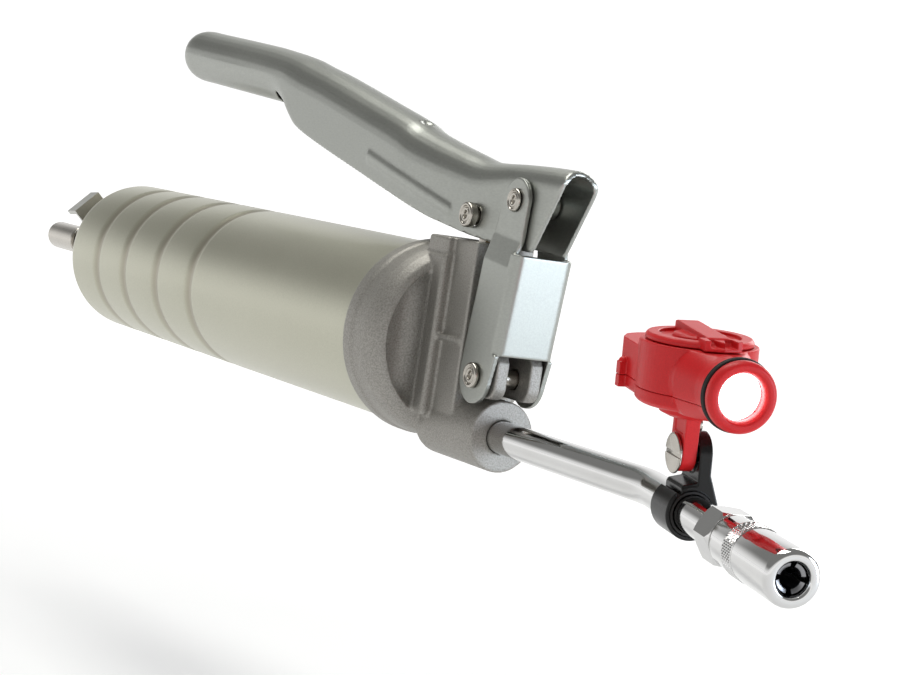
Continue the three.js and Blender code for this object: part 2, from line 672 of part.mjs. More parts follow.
function clampRing() {
  const ring = rodX(-CLAMP_HALF, CLAMP_HALF, 6.9, 28);
  const ear = barX(outline([
    [EAR_NEAR, 4], [EAR_NEAR, TILT_HEIGHT + 6], [EAR_FAR, TILT_HEIGHT + 6], [EAR_FAR, 9.8], [6.8, 2], [4, 2],
  ]), -CLAMP_HALF, CLAMP_HALF);
  const profile = new THREE.Shape();
  profile.moveTo(-CLAMP_HALF, -8);
  profile.lineTo(CLAMP_HALF, -8);
  profile.lineTo(CLAMP_HALF, TILT_HEIGHT);
  profile.absarc(0, TILT_HEIGHT, CLAMP_HALF, 0, Math.PI, false);
  const saddle = block(-CLAMP_HALF + 1, CLAMP_HALF - 1, -3, 2, 5, 8.2);
  return cut(
    unite(ring, ear.intersect(plateY(profile, -2, 9, 8)), saddle),
    rodX(-8, 8, PIPE_RADIUS + 1.15),
    rodY(-4, 9, 2.3, 0, TILT_HEIGHT),
    rodY(EAR_FAR - 2.1, 9, 4.1, 0, TILT_HEIGHT, 6),
    block(-8, 8, -4.4, -3.3, 2, 9),
  );
}

function tiltScrew() {
  const face = -SCREW_HEAD - 0.8;
  const head = rodY(face, -SCREW_HEAD, 5.2, 0, TILT_HEIGHT, 28);
  const coinSlot = block(-6, 6, face - 1, face + 0.4, TILT_HEIGHT - 0.6, TILT_HEIGHT + 0.6);
  return unite(cut(head, coinSlot), rodY(-SCREW_HEAD - 0.1, EAR_FAR - 0.1, 1.9, 0, TILT_HEIGHT));
}

function tiltNut() {
  return cut(rodY(EAR_FAR - 1.8, EAR_FAR - 0.1, 3.7, 0, TILT_HEIGHT, 6), rodY(0, 9, 2.2, 0, TILT_HEIGHT));
}

// ---- work light ---------------------------------------------------------------------------------------------
const torch = new THREE.Group();
torch.position.set(0, TORCH_Y, TILT_HEIGHT);
torch.rotation.y = -degrees(TILT_REST);
clamp.add(torch);
const CELL_RADIUS = 10;
const SPINDLE_X = BODY_CENTRE - 1;
const STEM_X = 0.6;

function torchStem() {
  const blade = new THREE.Shape();
  blade.moveTo(-4.6, 0);
  blade.absarc(0, 0, 4.6, Math.PI, 2 * Math.PI, false);
  blade.lineTo(5.2, 10.5);
  blade.lineTo(-4.2, 10.5);
  const disc = turnedZ([[9.9, 0], [9.9, 5.8], [10.9, 8], [12.7, 8.2], [12.7, 0]], SPINDLE_X);
  const spindle = rodZ(12.6, 16.9, 2.4, SPINDLE_X, 0);
  return cut(
    unite(plateY(blade, -1.9, 1.9), disc, spindle),
    rodY(-4, 4, 2.3, 0, 0),
    rodY(-4, 4, 1.4, STEM_X, 7.6, 16),
  );
}

function housingPlan(inset) {
  const plan = new THREE.Shape();
  const radius = BODY_RADIUS - inset;
  const spread = degrees(122);
  plan.absarc(BODY_CENTRE, 0, radius, -spread, spread, false);
  plan.lineTo(BODY_TAIL + 7.5, 12 - inset);
  plan.lineTo(BODY_TAIL + 2.2, 9.2 - inset);
  plan.lineTo(BODY_TAIL + inset, 5);
  plan.lineTo(BODY_TAIL + inset, -5);
  plan.lineTo(BODY_TAIL + 2.2, -9.2 + inset);
  plan.lineTo(BODY_TAIL + 7.5, -12 + inset);
  return plan;
}

function sideRib(x, hand) {
  return block(x - 0.9, x + 0.9, ...[hand * 10, hand * 13.2].sort((a, b) => a - b), BODY_BOTTOM + 2, BODY_TOP - 5.5);
}

function housing() {
  const body = plateZ(housingPlan(0), BODY_BOTTOM, BODY_TOP, 10);
  const belly = plateZ(housingPlan(1.8), BODY_BOTTOM - 0.1, BODY_BOTTOM + 1.2, 8);
  const neck = rodX(12, NECK_END, 8, 24, 0, LIGHT_Z);
  const nose = rodX(NECK_END - 0.1, NECK_END + 2.2, 7.3, 24, 0, LIGHT_Z);
  const ribs = [-1, 1].map((hand) => sideRib(-14.5, hand));
  const tail = block(BODY_TAIL - 1.8, -21, -5.4, 5.4, SEAM_Z - 2.5, SEAM_Z + 4);
  const aboveTail = cut(block(-30, BODY_CENTRE, -20, 20, TAIL_TOP, 30), rodZ(20, 32, BODY_RADIUS, BODY_CENTRE, 0, 32));
  const floor = block(-30, 40, -20, 20, BODY_BOTTOM - 1, BODY_BOTTOM + 1);
  return cut(
    unite(cut(body, cut(floor, belly), aboveTail), neck, nose, ...ribs, tail),
    rodZ(SEAM_Z - 1.4, BODY_TOP + 1, CELL_RADIUS + 0.5, BODY_CENTRE, 0, 24),
    rodX(8, NECK_END + 4, 6.4, 24, 0, LIGHT_Z),
    rodZ(BODY_BOTTOM - 1, SEAM_Z, 2.75, SPINDLE_X, 0),
  );
}

const SEAM_GAP = 0.15;
function addHousing() {
  const whole = housing();
  const below = block(-40, 50, -30, 30, 0, SEAM_Z - SEAM_GAP);
  const above = block(-40, 50, -30, 30, SEAM_Z + SEAM_GAP, 60);
  piece('torch_housing_lower', whole.intersect(below), redPlastic, torch);
  piece('torch_housing_upper', whole.intersect(above), redPlastic, torch);
}

function batteryCover() {
  const x = BODY_CENTRE;
  const top = BODY_TOP;
  const plug = turnedZ([
    [top - 2.4, 0], [top - 2.4, 9.9], [top + 0.1, 9.9], [top + CLEARANCE, 13.6],
    [top + 1.5, 13.6], [top + 1.9, 13.1], [top + 1.9, 0],
  ], x);
  const well = turnedZ([[top + 1, 0], [top + 1, 10.2], [top + 3, 10.2], [top + 3, 0]], x);
  const boss = turnedZ([[top, 0], [top, 6.8], [top + 1.8, 6.8], [top + 1.8, 0]], x);
  const bar = block(x - 10.4, x + 12.6, -2.9, 2.9, top, top + 4);
  const tip = x + 17;
  const pointer = plateZ(outline([
    [x + 11.5, -4.8], [tip - 1, -4.8], [tip, 0], [tip - 1, 4.8], [x + 11.5, 4.8],
  ]), top + CLEARANCE, top + 3);
  return unite(cut(plug, well), boss, bar, pointer);
}

function lensBezel() {
  const start = [NECK_END + CLEARANCE, 7.6];
  return turnedX([
    start, [NECK_END + CLEARANCE, 8.6], [NECK_END + 0.8, 8.2], [NECK_END + 2.6, 8.2],
    [NECK_END + 3.1, BEZEL_RADIUS], [LENS_FRONT - 1, BEZEL_RADIUS], [LENS_FRONT, 8],
    [LENS_FRONT, 6.5], [LENS_FRONT - 1.2, 5.7], [NECK_END + 2.8, 5.7], [NECK_END + 2.8, 7.6], start,
  ], 24, 0, LIGHT_Z);
}

function addTorch() {
  const linerBore = PIPE_RADIUS + CLEARANCE;
  piece('clamp_liner', ringX(-CLAMP_HALF, CLAMP_HALF, linerBore, linerBore + 0.6, 20), blackRubber, clamp);
  piece('clamp_ring', clampRing(), blackPlastic, clamp);
  piece('tilt_screw', tiltScrew(), nickel, clamp);
  piece('tilt_nut', tiltNut(), nickel, clamp);
  piece('torch_stem', torchStem(), redPlastic, torch);
  const lockScrew = unite(rodY(-1.7, 3.4, 1.1, STEM_X, 7.6, 12), rodY(2.2, 3.7, 1.9, STEM_X, 7.6));
  piece('swivel_lock_screw', lockScrew, nickel, torch);
  addHousing();
  piece('swivel_circlip', ringZ(15.8, 16.4, 2.7, 4.4, SPINDLE_X, 0), springSteel, torch);
  const cellFloor = SEAM_Z - 1;
  [['coin_cell_lower', cellFloor + 1.6], ['coin_cell_upper', cellFloor + 5]].forEach(([name, z]) => {
    piece(name, rodZ(z, z + 3.1, CELL_RADIUS, BODY_CENTRE, 0, 24), nickel, torch);
  });
  piece('battery_contact', rodZ(BODY_TOP - 3.4, BODY_TOP - 2.8, 6, BODY_CENTRE, 0), brass, torch);
  piece('battery_cover', batteryCover(), redPlastic, torch);
  piece('led_board', rodX(NECK_END - 8, NECK_END - 6.6, 6.1, 20, 0, LIGHT_Z), castAlloy, torch);
  const mirrorBack = NECK_END - 6.2;
  const mirrorFront = NECK_END - 0.4;
  const reflector = turnedX([
    [mirrorBack, 2.2], [mirrorBack, 6.1], [mirrorFront, 6.1], [mirrorFront, 5.4], [mirrorBack, 2.2],
  ], 24, 0, LIGHT_Z);
  piece('led_reflector', reflector, chrome, torch);
  piece('led_emitter', rodX(mirrorBack - 0.1, mirrorBack + 1.4, 1.6, 16, 0, LIGHT_Z), clearLens, torch);
  piece('torch_lens', rodX(NECK_END, NECK_END + 1.8, 6, 24, 0, LIGHT_Z), clearLens, torch);
  piece('lens_bezel', lensBezel(), redPlastic, torch);
  piece('lens_o_ring', ringX(NECK_END + 1, NECK_END + 2.4, 8.4, 9.2, 28, 0, LIGHT_Z), blackRubber, torch);
}

// ---- assembly -----------------------------------------------------------------------------------------------
piece('head_casting', headCasting(), castAlloy);
addBarrelPieces();
addRodLock();
addPumpPieces();
addLinkPieces();
addLever();
addCoupler();
addTorch();

export default gun;
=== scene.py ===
"""Looks of a lever-action grease gun with a clip-on work light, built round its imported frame.

Shapes are drawn in millimetres, in the frame's axes or in a sub-frame taken from a joint, and are
turned into metres as each piece is placed.
"""

import json
import math

import bmesh
import bpy
from mathutils import Matrix, Vector


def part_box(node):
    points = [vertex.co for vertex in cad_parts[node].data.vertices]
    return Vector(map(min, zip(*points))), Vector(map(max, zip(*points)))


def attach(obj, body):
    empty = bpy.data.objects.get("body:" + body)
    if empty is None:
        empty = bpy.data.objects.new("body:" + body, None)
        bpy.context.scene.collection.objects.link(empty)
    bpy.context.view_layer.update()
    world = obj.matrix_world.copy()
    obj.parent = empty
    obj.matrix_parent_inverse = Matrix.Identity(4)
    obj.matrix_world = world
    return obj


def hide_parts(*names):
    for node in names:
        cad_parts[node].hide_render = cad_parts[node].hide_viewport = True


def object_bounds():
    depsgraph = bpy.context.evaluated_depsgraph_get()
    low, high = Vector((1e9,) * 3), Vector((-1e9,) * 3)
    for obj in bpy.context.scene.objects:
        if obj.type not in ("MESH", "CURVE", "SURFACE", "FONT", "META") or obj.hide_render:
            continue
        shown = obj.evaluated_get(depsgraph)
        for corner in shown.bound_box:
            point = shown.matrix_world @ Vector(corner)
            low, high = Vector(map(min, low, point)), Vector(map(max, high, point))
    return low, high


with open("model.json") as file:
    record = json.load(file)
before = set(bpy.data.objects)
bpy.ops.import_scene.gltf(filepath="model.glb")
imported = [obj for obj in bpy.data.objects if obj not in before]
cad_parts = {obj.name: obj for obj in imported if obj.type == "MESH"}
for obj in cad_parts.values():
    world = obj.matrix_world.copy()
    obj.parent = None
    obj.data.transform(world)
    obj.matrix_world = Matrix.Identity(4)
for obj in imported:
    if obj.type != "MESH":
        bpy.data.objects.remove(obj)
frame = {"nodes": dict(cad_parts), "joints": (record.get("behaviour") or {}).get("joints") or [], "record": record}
cad_box = [list(corner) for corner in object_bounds()]

MM = 0.001
TINY = 1e-6
CLEARANCE = 0.3
OUTLET_X = 114
BARREL_RADIUS = 28.5
BARREL_WALL = 1.6
BARREL_LENGTH = 258.7
BARREL_REAR = 304
BEAD_DEPTH = 0.7
BEAD_WIDTH = 9.5
BEAD_SETBACKS = (177.2, 208.9, 240.8, 268.9)
SHOULDER_RADIUS = 10
COLLAR_RADIUS = 29.8
SLAB_HALF = 10
SLAB_TOP = 31.9
SLAB_FRONT = 13.5
BOSS_RADIUS = 10.6
OUTLET_Z = -23.3
PIPE_RADIUS = 4.85
ROD_RADIUS = 4
KNOB_RADIUS = 5.75
KNOB_END = 393
KNOB_LENGTH = 31
LOCK_ROLL = math.radians(45)
LOCK_LEAN = math.radians(-6)
LOCK_HALF = 6.2
PUMP_X = OUTLET_X - 22
PIN_Z = 39.2
PIN_RADIUS = 2.8
PIN_HOLE = PIN_RADIUS + CLEARANCE
SHEET = 1.6
LINK_HALF = 10
LINK_EAR_HALF = 8.3
LINK_BEND = 3
LEVER_WALL = 1.5
COUPLER_RADIUS = 6.93
PIPE_BEND_X = OUTLET_X + 71.5
PIPE_END = 38.2
CLAMP_SETBACK = 69.5
CLAMP_HALF = 5.75
CLAMP_RADIUS = 6.9
TILT_HEIGHT = 14.4
EAR_NEAR = 0.8
EAR_FAR = 4.2
LIGHT_Z = 20.8
SEAM_Z = 16.9
TAIL_TOP = 26
BODY_CENTRE = 3.4
BODY_RADIUS = 14.8
BODY_BOTTOM = 13
BODY_TOP = 28.8
BODY_TAIL = -26.4
NECK_END = 29
NECK_RADIUS = 8
CELL_RADIUS = 10.5
LED_BORE = 6.4
SEAM_GAP = 0.03
RIB_X = -14.5
RIB_HALF = 1.3
LENS_FRONT = 34.8
BEZEL_RADIUS = 8.8

joints = {joint["name"]: joint for joint in frame["joints"]}
record = frame["record"]
body_of = {node: body for body, nodes in record["behaviour"]["bodies"].items() for node in nodes}
slot_of = {part["node"]: part["material_slot"] for part in record["subparts"]}


def behind(distance):
    return OUTLET_X - distance


# ---- sub-frames, from the joints -----------------------------------------------------------------
def joint_place(name):
    return Vector(joints[name]["pos_m"]) / MM


def joint_axis(name):
    return Vector(joints[name]["axis"]).normalized()


def sub_frame(origin, x, y, z):
    return Matrix.Translation(origin) @ Matrix((x, y, z)).transposed().to_4x4()


ROW = Matrix()
heading = joint_axis("clamp_slide")
tilt_axis = joint_axis("torch_tilt")
pan_axis = joint_axis("torch_pan")
level = Vector((-heading.y, heading.x, 0)).normalized()
coupler_tip = joint_place("clamp_turn") + heading * CLAMP_SETBACK
COUPLER = sub_frame(coupler_tip, heading, level, heading.cross(level))
CLAMP = sub_frame(joint_place("clamp_turn"), heading, tilt_axis, heading.cross(tilt_axis))
TORCH = sub_frame(joint_place("torch_tilt"), tilt_axis.cross(pan_axis), tilt_axis, pan_axis)
across = Vector((0, 1, 0))
link_up = (joint_place("lever_pivot") - joint_place("link_rock")).normalized()
LINK = sub_frame(joint_place("link_rock"), across.cross(link_up), across, link_up)
LINK_LENGTH = (joint_place("lever_pivot") - joint_place("link_rock")).length
LOCK_BASE = Matrix.Rotation(LOCK_ROLL, 4, "X")
LOCK = Matrix.Translation(joint_place("rod_lock_tilt")) @ LOCK_BASE @ Matrix.Rotation(LOCK_LEAN, 4, "Y")
lever_pivot = joint_place("lever_pivot")
link_pivot = joint_place("link_rock")


# ---- mesh tools ----------------------------------------------------------------------------------
def make(bm):
    bmesh.ops.recalc_face_normals(bm, faces=bm.faces)
    mesh = bpy.data.meshes.new("piece")
    bm.to_mesh(mesh)
    bm.free()
    piece = bpy.data.objects.new("piece", mesh)
    bpy.context.scene.collection.objects.link(piece)
    return piece


def on_axis(axis, along, a, b):
    return {"X": (along, a, b), "Y": (a, along, b), "Z": (a, b, along)}[axis]


def skin(rings, closed=False):
    """A body over rings of points; a ring of one point is a pole, and the ends are closed with faces."""
    bm = bmesh.new()
    loops = [[bm.verts.new(point) for point in ring] for ring in rings]
    pairs = list(zip(loops, loops[1:]))
    if closed:
        pairs.append((loops[-1], loops[0]))
    for first, second in pairs:
        count = max(len(first), len(second))
        for k in range(count):
            n = (k + 1) % count
            if len(first) == 1:
                bm.faces.new((first[0], second[k], second[n]))
            elif len(second) == 1:
                bm.faces.new((first[k], first[n], second[0]))
            else:
                bm.faces.new((first[k], first[n], second[n], second[k]))
    if not closed:
        for ring in (loops[0], loops[-1]):
            if len(ring) > 2:
                bm.faces.new(ring)
    return make(bm)


def turned(profile, sides=96, axis="X", at=(0, 0), relief=None):
    """A turned body from (along, radius) points; relief adds to the radius by place and angle."""
    closed = profile[0] == profile[-1]
    rings = []
    for along, radius in profile[:-1] if closed else profile:
        if radius < TINY:
            rings.append([on_axis(axis, along, at[0], at[1])])
            continue
        ring = []
        for k in range(sides):
            angle = 2 * math.pi * k / sides
            reach = radius + (relief(along, radius, angle) if relief else 0)
            a = at[0] + reach * math.cos(angle)
            b = at[1] + reach * math.sin(angle)
            ring.append(on_axis(axis, along, a, b))
        rings.append(ring)
    return skin(rings, closed)


def softened(points, size=0.3, steps=3, loop=False):
    """The outline with its corners rounded, save those on the turning axis."""
    closed = loop or points[0] == points[-1]
    ring = list(points[:-1]) if points[0] == points[-1] else list(points)
    result = []
    for i, corner in enumerate(ring):
        if not closed and i in (0, len(ring) - 1):
            result.append(corner)
            continue
        here = Vector(corner)
        before = Vector(ring[i - 1]) - here
        after = Vector(ring[(i + 1) % len(ring)]) - here
        straight = before.normalized().dot(after.normalized()) < -0.985
        if straight or before.length < TINY or after.length < TINY:
            result.append(corner)
            continue
        start = here + before.normalized() * min(size, 0.45 * before.length)
        end = here + after.normalized() * min(size, 0.45 * after.length)
        for k in range(steps + 1):
            t = k / steps
            result.append(tuple(start * (1 - t) ** 2 + here * 2 * t * (1 - t) + end * t * t))
    if closed and not loop:
        result.append(result[0])
    return result


def rod(axis, low, high, radius, at=(0, 0), sides=64):
    return turned([(low, 0), (low, radius), (high, radius), (high, 0)], sides, axis, at)


def prism(outline, low, high, axis="Z"):
    """A plate of constant thickness from an outline across the axis."""
    return skin([[on_axis(axis, place, a, b) for a, b in outline] for place in (low, high)])


def block(x0, x1, y0, y1, z0, z1):
    return prism([(x0, y0), (x1, y0), (x1, y1), (x0, y1)], z0, z1)


def arc(centre, radius, start, end, steps):
    angles = [math.radians(start + (end - start) * k / steps) for k in range(steps + 1)]
    return [(centre[0] + radius * math.cos(a), centre[1] + radius * math.sin(a)) for a in angles]


def bake(piece):
    graph = bpy.context.evaluated_depsgraph_get()
    graph.update()
    mesh = bpy.data.meshes.new_from_object(piece.evaluated_get(graph))
    piece.modifiers.clear()
    piece.data = mesh
    return piece


def combine(operation, base, tools):
    for tool in tools:
        step = base.modifiers.new("combine", "BOOLEAN")
        step.operation = operation
        step.solver = "MANIFOLD"
        step.object = tool
        bake(base)
        bpy.data.objects.remove(tool)
    return base


def unite(base, *others):
    return combine("UNION", base, others)


def cut(base, *tools):
    return combine("DIFFERENCE", base, tools)


def common(base, other):
    return combine("INTERSECT", base, [other])


def bevel(piece, width=0.3, segments=3, angle=32):
    step = piece.modifiers.new("bevel", "BEVEL")
    step.width = width
    step.segments = segments
    step.limit_method = "ANGLE"
    step.angle_limit = math.radians(angle)
    step.use_clamp_overlap = True
    return bake(piece)


def moulded(piece, voxel=0.3, rounds=6):
    """Remeshes a body finely and relaxes it, so that its corners are soft like a casting's."""
    step = piece.modifiers.new("remesh", "REMESH")
    step.mode = "VOXEL"
    step.voxel_size = voxel
    relax = piece.modifiers.new("relax", "SMOOTH")
    relax.factor = 0.5
    relax.iterations = rounds
    return bake(piece)


# ---- finishes ------------------------------------------------------------------------------------
def feed(tree, node, inputs):
    """Links each input to a socket, or gives it a plain value."""
    for name, value in inputs.items():
        if isinstance(value, bpy.types.NodeSocket):
            tree.links.new(value, node.inputs[name])
        else:
            node.inputs[name].default_value = value
    return node


def add_node(tree, kind, inputs, **settings):
    node = tree.nodes.new("ShaderNode" + kind)
    for name, value in settings.items():
        setattr(node, name, value)
    return feed(tree, node, inputs)


def ramp(tree, value, start, end, smooth=False):
    """Maps the start range to the end range, straight or with a soft start and stop."""
    inputs = {"Value": value, "From Min": start[0], "From Max": start[1], "To Min": end[0], "To Max": end[1]}
    node = add_node(tree, "MapRange", inputs, interpolation_type="SMOOTHSTEP" if smooth else "LINEAR")
    return node.outputs["Result"]


def blend(tree, share, first, second):
    node = add_node(tree, "Mix", {}, data_type="RGBA")
    return feed(tree, node, {"Factor": share, "A": first, "B": second}).outputs["Result"]


def vector_math(tree, operation, *inputs, result="Vector"):
    return add_node(tree, "VectorMath", dict(enumerate(inputs)), operation=operation).outputs[result]


def object_place(tree):
    return add_node(tree, "TexCoord", {}).outputs["Object"]


def noise(tree, place, scale, detail):
    node = add_node(tree, "TexNoise", {"Vector": place, "Scale": scale, "Detail": detail})
    return node.outputs["Fac"]


def shader_of(tree):
    return tree.nodes["Principled BSDF"]


def finish(name, color, tint, metallic, roughness, grain, depth, patch=40, stretch=(1, 1, 1), spread=0.1,
           coat=0.0, edge_wear_and_highlight=0.0, speckle=0.0):
    """A procedural surface: patchy colour, fine grain in millimetres as bump, uneven gloss, and convex edges
    lightened, partly as wear and partly as a painted highlight.
    """
    material = bpy.data.materials.new(name)
    material.use_nodes = True
    tree = material.node_tree
    place = add_node(tree, "Mapping", {"Vector": object_place(tree), "Scale": stretch}).outputs["Vector"]
    patches = noise(tree, place, patch, 4)
    fine = noise(tree, place, 1 / (grain * MM), 3)
    base = speckled(tree, blend(tree, patches, (*color, 1), (*tint, 1)), fine, speckle)
    # convex edges lightened: partly edge wear, partly a painted highlight
    if edge_wear_and_highlight:
        base = worn_and_highlit_edges(tree, base, edge_wear_and_highlight)
    bump = add_node(tree, "Bump", {"Strength": 0.6, "Distance": depth * MM, "Height": fine})
    gloss = (max(roughness - spread / 2, MIRROR), roughness + spread / 2)
    feed(tree, shader_of(tree), {
        "Base Color": base, "Normal": bump.outputs["Normal"], "Metallic": metallic, "Coat Weight": coat,
        "Roughness": ramp(tree, patches, (0, 1), gloss),
    })
    if not metallic:
        feed(tree, shader_of(tree), {"Specular IOR Level": 0.3})
    return material


def speckled(tree, base, grain, amount):
    """Lightens and darkens the colour with the grain."""
    light = ramp(tree, grain, (0.3, 0.7), (1 - amount, 1 + amount))
    node = add_node(tree, "VectorMath", {0: base, "Scale": light}, operation="SCALE")
    return node.outputs["Vector"]


def worn_and_highlit_edges(tree, base, amount):
    """Lightens the convex edges: partly wear where handling polishes the surface, partly a painted highlight along
    them.
    """
    shape = add_node(tree, "NewGeometry", {})
    edge = ramp(tree, shape.outputs["Pointiness"], (0.52, 0.62), (0, amount))
    return blend(tree, edge, base, POLISHED_AND_HIGHLIT)


def lit_lens():
    """The lit lens: a bright white glow over a clear, slightly rippled skin."""
    material = finish("lit lens", (0.9, 0.92, 1), (1, 1, 1), 0, 0.12, 1.2, 0.05, patch=300)
    tree = material.node_tree
    feed(tree, shader_of(tree), {"Emission Color": (1, 0.98, 1, 1), "Emission Strength": 6})
    return material


def beaded_paint():
    """The barrel's satin coat, with painted shade: darker and browner down in the rolled beads."""
    material = finish("satin paint", (0.45, 0.445, 0.35), (0.52, 0.515, 0.42), 0.8, 0.36, 0.5, 0.02,
                      patch=25, coat=0.1, speckle=0.05)
    tree = material.node_tree
    base = shader_of(tree).inputs["Base Color"].links[0].from_socket
    # painted shade: the colour darkens towards brown with depth in the beads, standing in for the shading of the
    # shallow grooves
    off_axis = vector_math(tree, "MULTIPLY", object_place(tree), (0, 1, 1))
    reach = vector_math(tree, "LENGTH", off_axis, result="Value")
    bead_shade = ramp(tree, reach, ((BARREL_RADIUS - 0.1) * MM, (BARREL_RADIUS - BEAD_DEPTH) * MM), (0, 0.75))
    feed(tree, shader_of(tree), {"Base Color": blend(tree, bead_shade, base, PAINTED_BEAD_SHADE)})
    return material


MIRROR = 0.02
# the pale colour of the convex edges: polished wear and painted highlight
POLISHED_AND_HIGHLIT = (0.9, 0.88, 0.84, 1)
# the colour of the painted shade in the rolled beads
PAINTED_BEAD_SHADE = (0.33, 0.295, 0.23, 1)
FINISHES = {
    "cast_alloy": finish("cast alloy", (0.27, 0.26, 0.235), (0.36, 0.345, 0.32), 0.7, 0.5, 0.5, 0.22,
                         patch=60, edge_wear_and_highlight=0.25, speckle=0.22),
    "satin_paint": beaded_paint(),
    "zinc_steel": finish("zinc-plated steel", (0.32, 0.33, 0.305), (0.40, 0.41, 0.38), 0.95, 0.38, 0.5, 0.025,
                         patch=50, stretch=(0.35, 1, 1), edge_wear_and_highlight=0.25, speckle=0.06),
    "nickel": finish("nickel", (0.42, 0.395, 0.35), (0.54, 0.51, 0.46), 1, 0.24, 0.8, 0.02, patch=120,
                     edge_wear_and_highlight=0.2),
    "chrome": finish("chrome", (0.62, 0.615, 0.605), (0.72, 0.72, 0.715), 1, 0.07, 2.5, 0.004, patch=60,
                     spread=0.04),
    "spring_steel": finish("spring steel", (0.22, 0.22, 0.23), (0.32, 0.32, 0.33), 1, 0.3, 0.6, 0.02),
    "black_rubber": finish("black rubber", (0.012, 0.012, 0.012), (0.03, 0.028, 0.026), 0, 0.6, 0.5, 0.03),
    "black_plastic": finish("black plastic", (0.004, 0.004, 0.004), (0.010, 0.010, 0.009), 0, 0.24, 1.5,
                            0.03),
    "red_plastic": finish("red plastic", (0.55, 0.010, 0.013), (0.65, 0.019, 0.022), 0, 0.4, 0.35, 0.03,
                          patch=80, speckle=0.08),
    "brass": finish("brass", (0.50, 0.36, 0.14), (0.60, 0.45, 0.20), 1, 0.3, 0.6, 0.02),
    "circuit_board": finish("circuit board", (0.75, 0.75, 0.72), (0.82, 0.82, 0.79), 0, 0.5, 0.5, 0.02),
    "led_white": finish("phosphor", (0.95, 0.9, 0.55), (1, 0.95, 0.65), 0, 0.4, 0.4, 0.02),
    "clear_lens": lit_lens(),
}


def show(piece, node, matrix=ROW, angle=30):
    """Places a finished piece in the frame, where it stands for its CAD node."""
    piece.name = node + "_skin"
    piece.data.name = piece.name
    piece.data.transform(Matrix.Scale(MM, 4) @ matrix)
    piece.data.materials.clear()
    piece.data.materials.append(FINISHES[slot_of[node]])
    piece.data.shade_smooth()
    piece.data.set_sharp_from_angle(angle=math.radians(angle))
    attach(piece, body_of[node])
    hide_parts(node)
    return piece


# ---- camera and light ----------------------------------------------------------------------------
CAMERA_PLACE = Vector((0.66918, -0.34361, 0.04648))
CAMERA_LOOK = Vector((-0.86355, 0.49992, -0.06603))
CAMERA_UP = Vector((-0.13174, -0.09727, 0.98650))
ROOM_GREY = (0.24, 0.24, 0.235, 1)
ROOM_WHITE = (1.05, 1.05, 1.05, 1)
FLOOR_HALF = 40
FLOOR_DROP = 0.12


def aim(obj, place, direction, up):
    back = -direction.normalized()
    right = up.cross(back).normalized()
    obj.matrix_world = sub_frame(place, right, back.cross(right), back)


def add_camera():
    lens = bpy.data.cameras.new("camera")
    lens.lens = 90
    lens.sensor_width = 36
    lens.clip_start = 0.01
    camera = bpy.data.objects.new("camera", lens)
    bpy.context.scene.collection.objects.link(camera)
    aim(camera, CAMERA_PLACE, CAMERA_LOOK, CAMERA_UP)
    bpy.context.scene.camera = camera


def add_softbox(name, place, size, watts, color=(1, 1, 1)):
    lamp = bpy.data.lights.new(name, "AREA")
    lamp.shape = "RECTANGLE"
    lamp.size, lamp.size_y = size
    lamp.energy = watts
    lamp.color = color
    softbox = bpy.data.objects.new(name, lamp)
    bpy.context.scene.collection.objects.link(softbox)
    aim(softbox, Vector(place), -Vector(place), Vector((1, 0, 0.2)))


def add_sky():
    """A dim grey room that turns white towards the floor, and white behind the gun."""
    world = bpy.data.worlds.new("room")
    bpy.context.scene.world = world
    world.use_nodes = True
    tree = world.node_tree
    facing = add_node(tree, "TexCoord", {}).outputs["Generated"]
    height = add_node(tree, "SeparateXYZ", {"Vector": facing}).outputs["Z"]
    low = ramp(tree, height, (0.31, 0.02), (0, 1), smooth=True)
    ahead = vector_math(tree, "DOT_PRODUCT", facing, CAMERA_LOOK, result="Value")
    backdrop = ramp(tree, ahead, (0.72, 0.94), (0, 1), smooth=True)
    white = add_node(tree, "Math", {0: low, 1: backdrop}, operation="MAXIMUM").outputs["Value"]
    feed(tree, tree.nodes["Background"], {"Color": blend(tree, white, ROOM_GREY, ROOM_WHITE)})


def add_floor():
    """A white floor that glows like a light table, more so away from the lamps over the gun."""
    floor = skin([[(x, y, 0) for x, y in ((-1, -1), (1, -1), (1, 1), (-1, 1))], [(0, 0, -MM)]])
    floor.name = "floor"
    floor.scale = (FLOOR_HALF, FLOOR_HALF, 1)
    floor.location.z = cad_box[0][2] - FLOOR_DROP
    white = finish("floor", (0.46, 0.46, 0.46), (0.5, 0.5, 0.5), 0, 0.9, 2, 0.01)
    tree = white.node_tree
    place = add_node(tree, "NewGeometry", {}).outputs["Position"]
    away = vector_math(tree, "LENGTH", place, result="Value")
    glow = ramp(tree, away, (0.3, 1.6), (0.46, 0.98))
    feed(tree, shader_of(tree), {"Emission Strength": glow, "Emission Color": (1, 1, 1, 1)})
    floor.data.materials.append(white)


def add_studio():
    add_sky()
    add_floor()
    add_softbox("top light", (-0.1, -0.1, 0.9), (0.3, 0.9), 6, (1, 1, 0.96))
    add_softbox("rim light", (-0.3, 0.8, 0.5), (0.8, 0.4), 5)
    add_softbox("cool light", (0.85, 0.5, 0.05), (0.5, 0.3), 4, (0.74, 0.85, 1))
    bpy.context.scene.view_settings.view_transform = "Standard"


